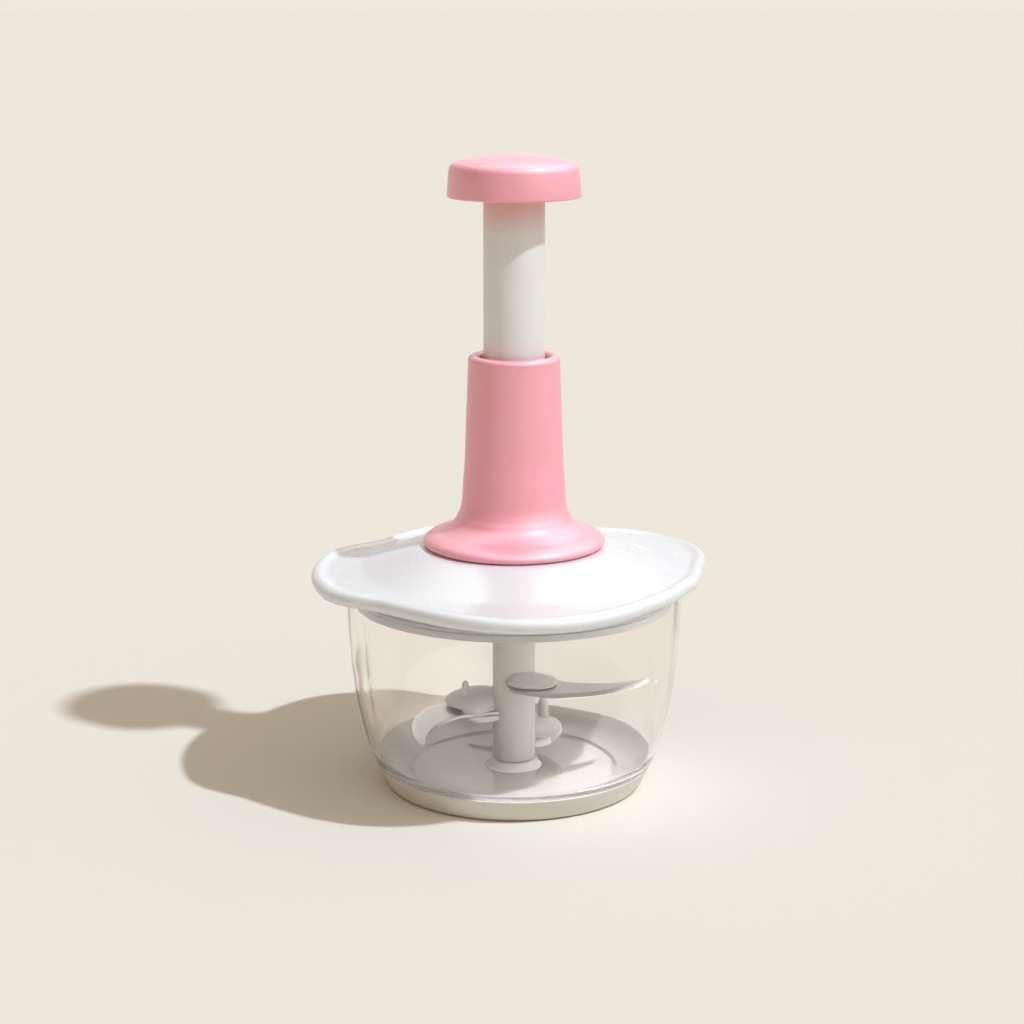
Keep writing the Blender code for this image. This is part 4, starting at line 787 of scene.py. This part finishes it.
class CHOPPER_OT_lid(bpy.types.Operator):
    """Makes the wavy lid, its liner and the seal: lathe surfaces. The lid has a deck, a slope, a
    dish and a thick round rim, whose outer part is pushed out into five lobes"""

    bl_idname = "chopper.lid"
    bl_label = "Lid"

    def execute(self, context):
        sizes = context.scene.chopper_sizes
        colours = context.scene.chopper_colours
        deck = [(18.5, 104.4), (18.5, 107.0), (39.0, 107.0)]
        slope = through([
            (39.0, 107.0), (42.6, 106.6), (48.6, 104.7), (56.9, 101.6), (65.2, 98.4), (70.2, 96.85),
            (73.2, 96.2), (74.8, 96.9),
        ], 8)
        rim = arc((76.0, 93.95), 3.3, 104, -100, 26)
        under = rounded([
            (75.4, 90.75), (75.0, 92.3), (69.9, 92.3), (69.9, 95.7), (64.0, 95.94), (55.1, 99.5),
            (46.8, 102.9), (40.3, 104.4), (18.5, 104.4),
        ], [0, 0.6, 0.3, 0.5, 2, 3, 3, 2, 0], 5)
        outline = np.vstack([rounded(deck, [0, 0.3, 0], 4), slope[1:], rim, under[:-1]])
        turns = angles(360)
        rows_on_top = 3 + len(slope) + 7
        out = outline[:, 0]
        on_top = ease(out, 66.0, 75.6)
        below = np.clip((out - 75.2) / 1.1, 0, 1)
        share = np.where(np.arange(len(outline)) < rows_on_top, on_top, below)
        swell = share[:, None] * (lobes(turns) * sizes.lobe / MM)[None]
        white = moulded("lid_plastic_look", colours.pair("white"), 0.20, 0.12, peel_depth=0.00002, glow=0.15)
        grid = lathe(outline, turns, swell)
        place("wavy_lid", [shell(grid, round_rows=True)], "lid", white, ["lid_shell"])

        liner = rounded([
            (9.8, 79.6), (9.8, 74.3), (14.0, 74.3), (14.0, 84.5), (67.0, 84.5), (67.0, 82.5), (69.2, 82.5),
            (69.2, 85.5), (68.2, 85.5), (68.2, 89.3), (69.2, 89.3), (69.2, 95.4), (67.0, 95.4), (67.0, 86.7),
            (14.0, 86.7), (14.0, 89.8), (8.2, 89.8), (8.2, 82.5), (6.0, 82.5), (6.0, 81.3), (8.2, 81.3),
            (8.2, 79.6), (9.8, 79.6),
        ], [0, 0.3, 0.5, 1.0, 1.0, 0.4, 0.5, 0.1, 0.1, 0.1, 0.1, 0.3, 0.3, 0.5] + [0.3] * 9, 4)
        inner = moulded("liner_plastic_look", colours.pair("white"), 0.26, 0.0)
        closed = shell(lathe(liner[:-1], angles()), round_rows=True)
        place("lid_liner_moulded", [closed], "lid", inner, ["lid_liner"])

        ring = rounded([
            (68.5, 87.4), (68.5, 85.8), (69.6, 85.8), (70.4, 87.4), (69.6, 89.0), (68.5, 89.0), (68.5, 87.4),
        ], 0.3, 4)
        soft = rubbery("seal_look", colours.pair("seal"), 0.4)
        grid = lathe(ring[:-1], angles())
        place("seal_ring", [shell(grid, round_rows=True)], "lid", soft, ["lid_seal"])
        return {"FINISHED"}


def glossy_pink(name, colours):
    """The pink plastic of the tower and the knob."""
    pink = colours.pair("pink")
    return moulded(name, pink, 0.38, coat=0.18, peel_depth=0.000025, glow=0.06, gloss=1.0)


class CHOPPER_OT_tower(bpy.types.Operator):
    """Makes the pink tower: a lathe surface from a flared foot up a slim taper to a rolled mouth,
    with a stepped bore"""

    bl_idname = "chopper.tower"
    bl_label = "Tower"

    def execute(self, context):
        colours = context.scene.chopper_colours
        # Each point of the flare: how far out and how far up it stands, as shares of the whole
        shares = np.array([
            (0.934, 0.047), (0.797, 0.064), (0.619, 0.078), (0.447, 0.100), (0.320, 0.126), (0.254, 0.153),
            (0.198, 0.181), (0.147, 0.232), (0.117, 0.339), (0.081, 0.446), (0.056, 0.605), (0.030, 0.762),
            (0.0, 0.950),
        ])
        side = np.column_stack([19.8 + 19.7 * shares[:, 0], 107.3 + 83.2 * shares[:, 1]])
        foot = [(37.8, 107.3), (39.2, 108.05), (39.5, 109.46)]
        climb = through(np.vstack([foot, side, [(19.8, 188.2)]]), 7)
        lip = arc((17.55, 188.25), 2.25, 0, 180, 14)
        bore = rounded([
            (15.3, 188.2), (15.3, 184.0), (17.6, 184.0), (17.6, 107.3), (37.8, 107.3),
        ], [0, 0.3, 0.2, 0.3, 0])
        outline = np.vstack([climb, lip, bore[:-1]])
        pink = glossy_pink("pink_plastic_look", colours)
        grid = lathe(outline, angles())
        place("tower", [shell(grid, round_rows=True)], "lid", pink, ["tower_housing"])
        return {"FINISHED"}


def spoke_shell(length, width, low, high, out, turn):
    """A rib under the knob: a closed box along a spoke, as four corners carried up."""
    x = np.array([out - length / 2, out + length / 2, out + length / 2, out - length / 2])
    y = np.array([-width / 2, -width / 2, width / 2, width / 2])
    grid = np.stack([np.column_stack([x, y, np.full(4, height)]) for height in (low, high)])
    return shell(turned(grid, turn), capped=True)


class CHOPPER_OT_plunger(bpy.types.Operator):
    """Makes the white tube and the pink press knob: lathe surfaces, with spoke ribs in the knob's
    hollow underside"""

    bl_idname = "chopper.plunger"
    bl_label = "Plunger"

    def execute(self, context):
        colours = context.scene.chopper_colours
        tube = rounded([
            (11.35, 200.0), (11.35, 161.7), (13.15, 161.7), (13.15, 264.2), (1.8, 264.2), (1.8, 261.7),
            (11.35, 261.7), (11.35, 200.0),
        ], [0, 0.3, 0.4, 0.3, 0.1, 0.1, 0.3, 0])
        # The tube's top is painted pink: painted bounce light from the pink knob above it
        white = moulded(
            "tube_plastic_look", colours.pair("pale"), 0.30, 0.1, peel_depth=0.00003,
            painted_by_height=(0.2425, 0.2545, colours.tube_pink_bounce),
        )
        closed = shell(lathe(tube[:-1], angles()), round_rows=True)
        place("plunger_tube_moulded", [closed], "plunger", white, ["plunger_tube"])

        low = low_of("press_knob")
        edge = arc((27.55, low + 0.9), 0.9, -90, 0, 6)
        dome = through([
            (27.75, low + 10.4), (27.53, low + 12.04), (26.78, low + 13.49), (25.39, low + 14.55),
            (22.2, low + 15.54), (17.2, low + 16.50), (9.44, low + 17.38), (0.0, low + 17.7),
        ], 8)
        hollow = rounded([
            (0.0, low + 7.1), (13.45, low + 7.1), (13.45, low), (15.95, low), (15.95, low + 10.5),
            (26.05, low + 10.5), (26.05, low), (27.55, low),
        ], [0, 0.2, 0.3, 0.4, 0.8, 0.8, 0.2, 0])
        outline = np.vstack([hollow[:-1], edge, dome])
        spokes = [spoke_shell(11.0, 1.6, low + 2.4, low + 11.0, 21.0, turn) for turn in angles(6)]
        pink = glossy_pink("knob_plastic_look", colours)
        shells = [shell(lathe(outline, angles()))] + spokes
        place("press_knob_moulded", shells, "plunger", pink, ["press_knob"])
        return {"FINISHED"}


# Each leaf: middle out and aside, half length and width, edge height over the blade, dome height,
# drift towards the shaft, and the middle and half width in degrees of the undercut part of its edge
LEAVES = {
    "upper": (17.0, -1.0, 12.2, 11.2, 0.4, 1.7, 14.0, -30, 105),
    "middle": (15.6, -3.6, 15.2, 14.2, 1.7, 5.4, 7.0, 16, 50),
    "lower": (17.6, 0.0, 13.2, 12.4, 1.6, 5.2, 7.0, 0, 0),
}


# How far out the pegs stand
PEG_OUT = 21.5


def leaf_shell(level):
    """The domed leaf over a blade's root: rings of an ellipse that climb by a quarter cosine and
    drift towards the shaft as they shrink. Part of its edge is undercut, which leaves a dark
    recess, and elsewhere its side goes down to the clamp."""
    out, aside, length, width, edge, dome, drift, cut, spread = LEAVES[level]
    low = high_of(f"{level}_blade") + 0.1
    deep = low - low_of(f"{level}_clamp") - 0.2
    turns = angles(96)
    share = np.linspace(0.0, 1.0, 26)
    ring = np.cos(share * math.pi / 2)
    rim = edge + 0.5
    rise = np.column_stack([ring, rim + dome * np.sin(share * math.pi / 2) ** 1.3])
    cuts = [0, 0.01, 0.04, 0.02, 0]
    hollow = [(0.0, 0.0), (0.74, 0.0), (0.74, edge * 0.8), (0.975, edge * 0.8), (1.0, rim)]
    full = [(0.0, -deep), (0.88, -deep), (0.96, -deep * 0.6), (0.985, edge * 0.5), (1.0, rim)]
    hollow, full = rounded(hollow, cuts, 4), rounded(full, cuts, 4)
    away = np.abs((np.degrees(turns) - cut + 180) % 360 - 180)
    closed = ease(away, spread - 14, spread)[None, :, None] if spread else 1.0
    grid = lathe(np.vstack([hollow[:-1], rise]), turns) * (1 - closed)
    grid = grid + lathe(np.vstack([full[:-1], rise]), turns) * closed
    grid *= (length, width, 1.0)
    moved = np.concatenate([np.zeros(len(hollow) - 1), 1 - ring])[:, None]
    grid[..., 0] += out - moved * drift
    grid[..., 1] = grid[..., 1] * (0.5 + 0.5 * ease(grid[..., 0], 4, 17)) + aside
    grid[..., 2] += low
    return shell(turned(grid, ARM_TURNS[level]))


def peg_shell(level, radius, height, lean):
    """An upright stirring peg on a leaf, up to a height over the blade, with a round head."""
    low = high_of(f"{level}_blade") + 1.4
    high = high_of(f"{level}_blade") + height
    head = radius * 0.92
    side = [(0.0, low), (radius * 1.25, low), (radius, low + 3.0), (head, high - radius)]
    outline = np.vstack([rounded(side, [0, 0, 1, 0]), arc((0.0, high - head), head, 0, 90, 7)])
    grid = lathe(outline, angles(32)) + (PEG_OUT, 0.0, 0.0)
    return shell(turned(grid, ARM_TURNS[level] + lean))


class CHOPPER_OT_shaft(bpy.types.Operator):
    """Makes the white shaft with its three domed leaves and two stirring pegs"""

    bl_idname = "chopper.shaft"
    bl_label = "Blade shaft"

    def execute(self, context):
        colours = context.scene.chopper_colours
        low, high = low_of("blade_shaft"), high_of("blade_shaft")
        outline = rounded([
            (3.3, low + 26.0), (3.3, low + 14.3), (6.5, low + 14.3), (6.5, low), (9.45, low), (9.45, high),
            (4.6, high), (4.6, high - 12.5), (0.0, high - 12.5),
        ], [0, 0.1, 0.3, 0.3, 1.2, 0.5, 0.3, 0.2, 0], 5)
        outline = np.vstack([[(0.0, low + 26.0)], outline])
        shells = [shell(lathe(outline, angles(128)))]
        shells += [leaf_shell(level) for level in ARM_TURNS]
        shells.append(peg_shell("middle", 1.6, 12.2, math.radians(2)))
        shells.append(peg_shell("lower", 2.4, 14.6, math.radians(-8)))
        # The shaft darkens towards its foot: painted shade from the lid's shadow inside the bowl
        white = moulded(
            "shaft_plastic_look", colours.pair("shaft"), 0.34, 0.05,
            painted_by_height=(0.046, 0.010, colours.shaft_foot_shade),
        )
        place("shaft_with_leaves", shells, "blades", white, ["blade_shaft"])
        return {"FINISHED"}


def blade_edges(reach):
    """The trailing and leading edges of a blade along its arm, as equally many points each."""
    leading = through(np.array([
        (0.097, -0.124), (0.31, -0.21), (0.47, -0.172), (0.613, -0.053), (0.684, 0.121), (0.716, 0.319),
        (0.694, 0.543), (0.649, 0.721), (0.613, 0.785), (0.604, 0.79),
    ]) * reach, 12)
    trailing = through(np.array([
        (0.11, 0.113), (0.336, 0.183), (0.418, 0.243), (0.493, 0.335), (0.566, 0.479), (0.599, 0.645),
        (0.597, 0.75), (0.600, 0.784), (0.603, 0.789),
    ]) * reach, 12)
    return even(trailing, 90), even(leading, 90)


def even(curve, count):
    """The curve sampled at equal lengths along it."""
    run = np.concatenate([[0.0], np.cumsum(np.linalg.norm(np.diff(curve, axis=0), axis=1))])
    at = np.linspace(0.0, run[-1], count)
    return np.column_stack([np.interp(at, run, curve[:, axis]) for axis in range(2)])


def clamp_edges():
    """The inner and outer edges of a clamp: an arc round the shaft, and part of a circle centred
    beside the shaft, whose ends close in on that arc."""
    inner, outer, middle, radius = 9.8, 9.9, 9.5, 14.0
    share = np.linspace(-1, 1, 80)
    turn = np.radians(47) * share
    leaf = middle * np.cos(turn) + np.sqrt(radius ** 2 - (middle * np.sin(turn)) ** 2)
    leaf = outer + (leaf - outer) * np.sqrt(1 - share ** 4)
    way = np.column_stack([np.cos(turn), np.sin(turn)])
    return inner * way, leaf[:, None] * way


class CHOPPER_OT_blades(bpy.types.Operator):
    """Makes the three swept blades and their clamps: thin plates between two edge curves, the
    leading edge of each blade ground down on top"""

    bl_idname = "chopper.blades"
    bl_label = "Blades"

    def execute(self, context):
        sizes = context.scene.chopper_sizes
        colours = context.scene.chopper_colours
        steel = brushed("blade_steel_look", colours.steel, 0.26, along_map=True)
        white = moulded("clamp_plastic_look", colours.pair("shaft"), 0.34, 0.05)
        for level, turn in ARM_TURNS.items():
            blade, clamp = f"{level}_blade", f"{level}_clamp"
            reach = (sizes.short_blade if level == "lower" else sizes.long_blade) / MM
            trailing, leading = blade_edges(reach)
            edges = low_of(blade), high_of(blade), 0.12, sizes.grind / MM
            points, faces, places = plate(trailing, leading, *edges)
            ground = [(turned(points, turn), faces, places)]
            place(f"{blade}_ground", ground, "blades", steel, [blade], 24.0)
            points, faces, places = plate(*clamp_edges(), low_of(clamp), high_of(clamp), 0.7)
            made = [(turned(points, turn), faces, places)]
            place(f"{clamp}_moulded", made, "blades", white, [clamp])
        return {"FINISHED"}


# How many turns the spring's wire makes
SPRING_COILS = 10


def coil_shell(radius, wire, coils, low, high):
    """A wound spring: a tube round a helix, x = r cos t, y = r sin t and z rising evenly with t,
    but for the first and last turns, which lie nearly flat."""
    share = np.linspace(0, 1, coils * 36 + 1)
    turn = math.tau * coils * share[:, None]
    climb = 0.02 * share + 0.98 * np.clip((share - 0.07) / 0.86, 0, 1)
    height = low + wire + (high - low - 2 * wire) * climb[:, None]
    around = angles(12)[None]
    out = radius + wire * np.cos(around)
    grid = np.stack([out * np.cos(turn), out * np.sin(turn), height + wire * np.sin(around)], axis=-1)
    return shell(grid, capped=True)


class CHOPPER_OT_spring(bpy.types.Operator):
    """Makes the return spring in the tower: a round wire along a helix"""

    bl_idname = "chopper.spring"
    bl_label = "Return spring"

    def execute(self, context):
        sizes = context.scene.chopper_sizes
        low, high = low_of("return_spring"), high_of("return_spring")
        wire = sizes.wire / MM
        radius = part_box("return_spring")[1][0] / MM - wire
        steel = brushed("spring_steel_look", context.scene.chopper_colours.steel, 0.25)
        coil = coil_shell(radius, wire, SPRING_COILS, low, high)
        spring = place("return_spring_wound", [coil], "lid", steel, ["return_spring"])
        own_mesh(spring)
        return {"FINISHED"}


class CHOPPER_OT_small_parts(bpy.types.Operator):
    """Gives the inner drive parts, fasteners and bearings their metal and plastic looks"""

    bl_idname = "chopper.small_parts"
    bl_label = "Small parts"

    def execute(self, context):
        colours = context.scene.chopper_colours
        steel = brushed("small_steel_look", colours.steel, 0.25)
        brass = brushed("brass_look", colours.brass, 0.28)
        white = moulded("inner_plastic_look", colours.pair("pale"), 0.32, 0.0)
        screws = [f"{name}_screw_{i}" for name in ("tower", "liner") for i in (1, 2, 3)]
        rivets = [f"{level}_rivet_{i}" for level in ARM_TURNS for i in (1, 2)]
        dress(steel, "thrust_washer", "knob_screw", "twisted_rod", "driver_pin", *screws, *rivets)
        dress(brass, "drive_bearing", "rod_collar", "foot_bush")
        dress(white, "guide_bush", "spring_seat", "stop_collar", "drive_nut", "hex_driver")
        return {"FINISHED"}


PIECES = (
    CHOPPER_OT_stage, CHOPPER_OT_bowl, CHOPPER_OT_base, CHOPPER_OT_lid, CHOPPER_OT_tower, CHOPPER_OT_plunger,
    CHOPPER_OT_shaft, CHOPPER_OT_blades, CHOPPER_OT_spring, CHOPPER_OT_small_parts,
)


class CHOPPER_PT_panel(bpy.types.Panel):
    """Lists the chopper's settings and pieces in the 3D view's sidebar"""

    bl_idname = "CHOPPER_PT_panel"
    bl_label = "Plunger Food Chopper"
    bl_space_type = "VIEW_3D"
    bl_region_type = "UI"
    bl_category = "Chopper"

    def draw(self, context):
        scene = context.scene
        for group in (scene.chopper_colours, scene.chopper_sizes, scene.chopper_stage):
            column = self.layout.column(align=True)
            for name in group.__annotations__:
                column.prop(group, name)
        for piece in PIECES:
            self.layout.operator(piece.bl_idname)


GROUPS = (
    ("chopper_colours", ChopperColours), ("chopper_sizes", ChopperSizes), ("chopper_stage", ChopperStage),
)


def register():
    """Registers the settings, the pieces and the panel."""
    for name, group in GROUPS:
        bpy.utils.register_class(group)
        setattr(bpy.types.Scene, name, bpy.props.PointerProperty(type=group))
    for piece in PIECES:
        bpy.utils.register_class(piece)
    bpy.utils.register_class(CHOPPER_PT_panel)


def unregister():
    """Removes them again."""
    bpy.utils.unregister_class(CHOPPER_PT_panel)
    for piece in reversed(PIECES):
        bpy.utils.unregister_class(piece)
    for name, group in reversed(GROUPS):
        delattr(bpy.types.Scene, name)
        bpy.utils.unregister_class(group)


def main():
    """Builds the scene."""
    for obj in list(bpy.data.objects):
        if obj.name in ("Cube", "Light", "Camera"):
            bpy.data.objects.remove(obj)
    register()
    for piece in PIECES:
        group, name = piece.bl_idname.split(".")
        getattr(getattr(bpy.ops, group), name)()


if __name__ == "__main__":
    main()
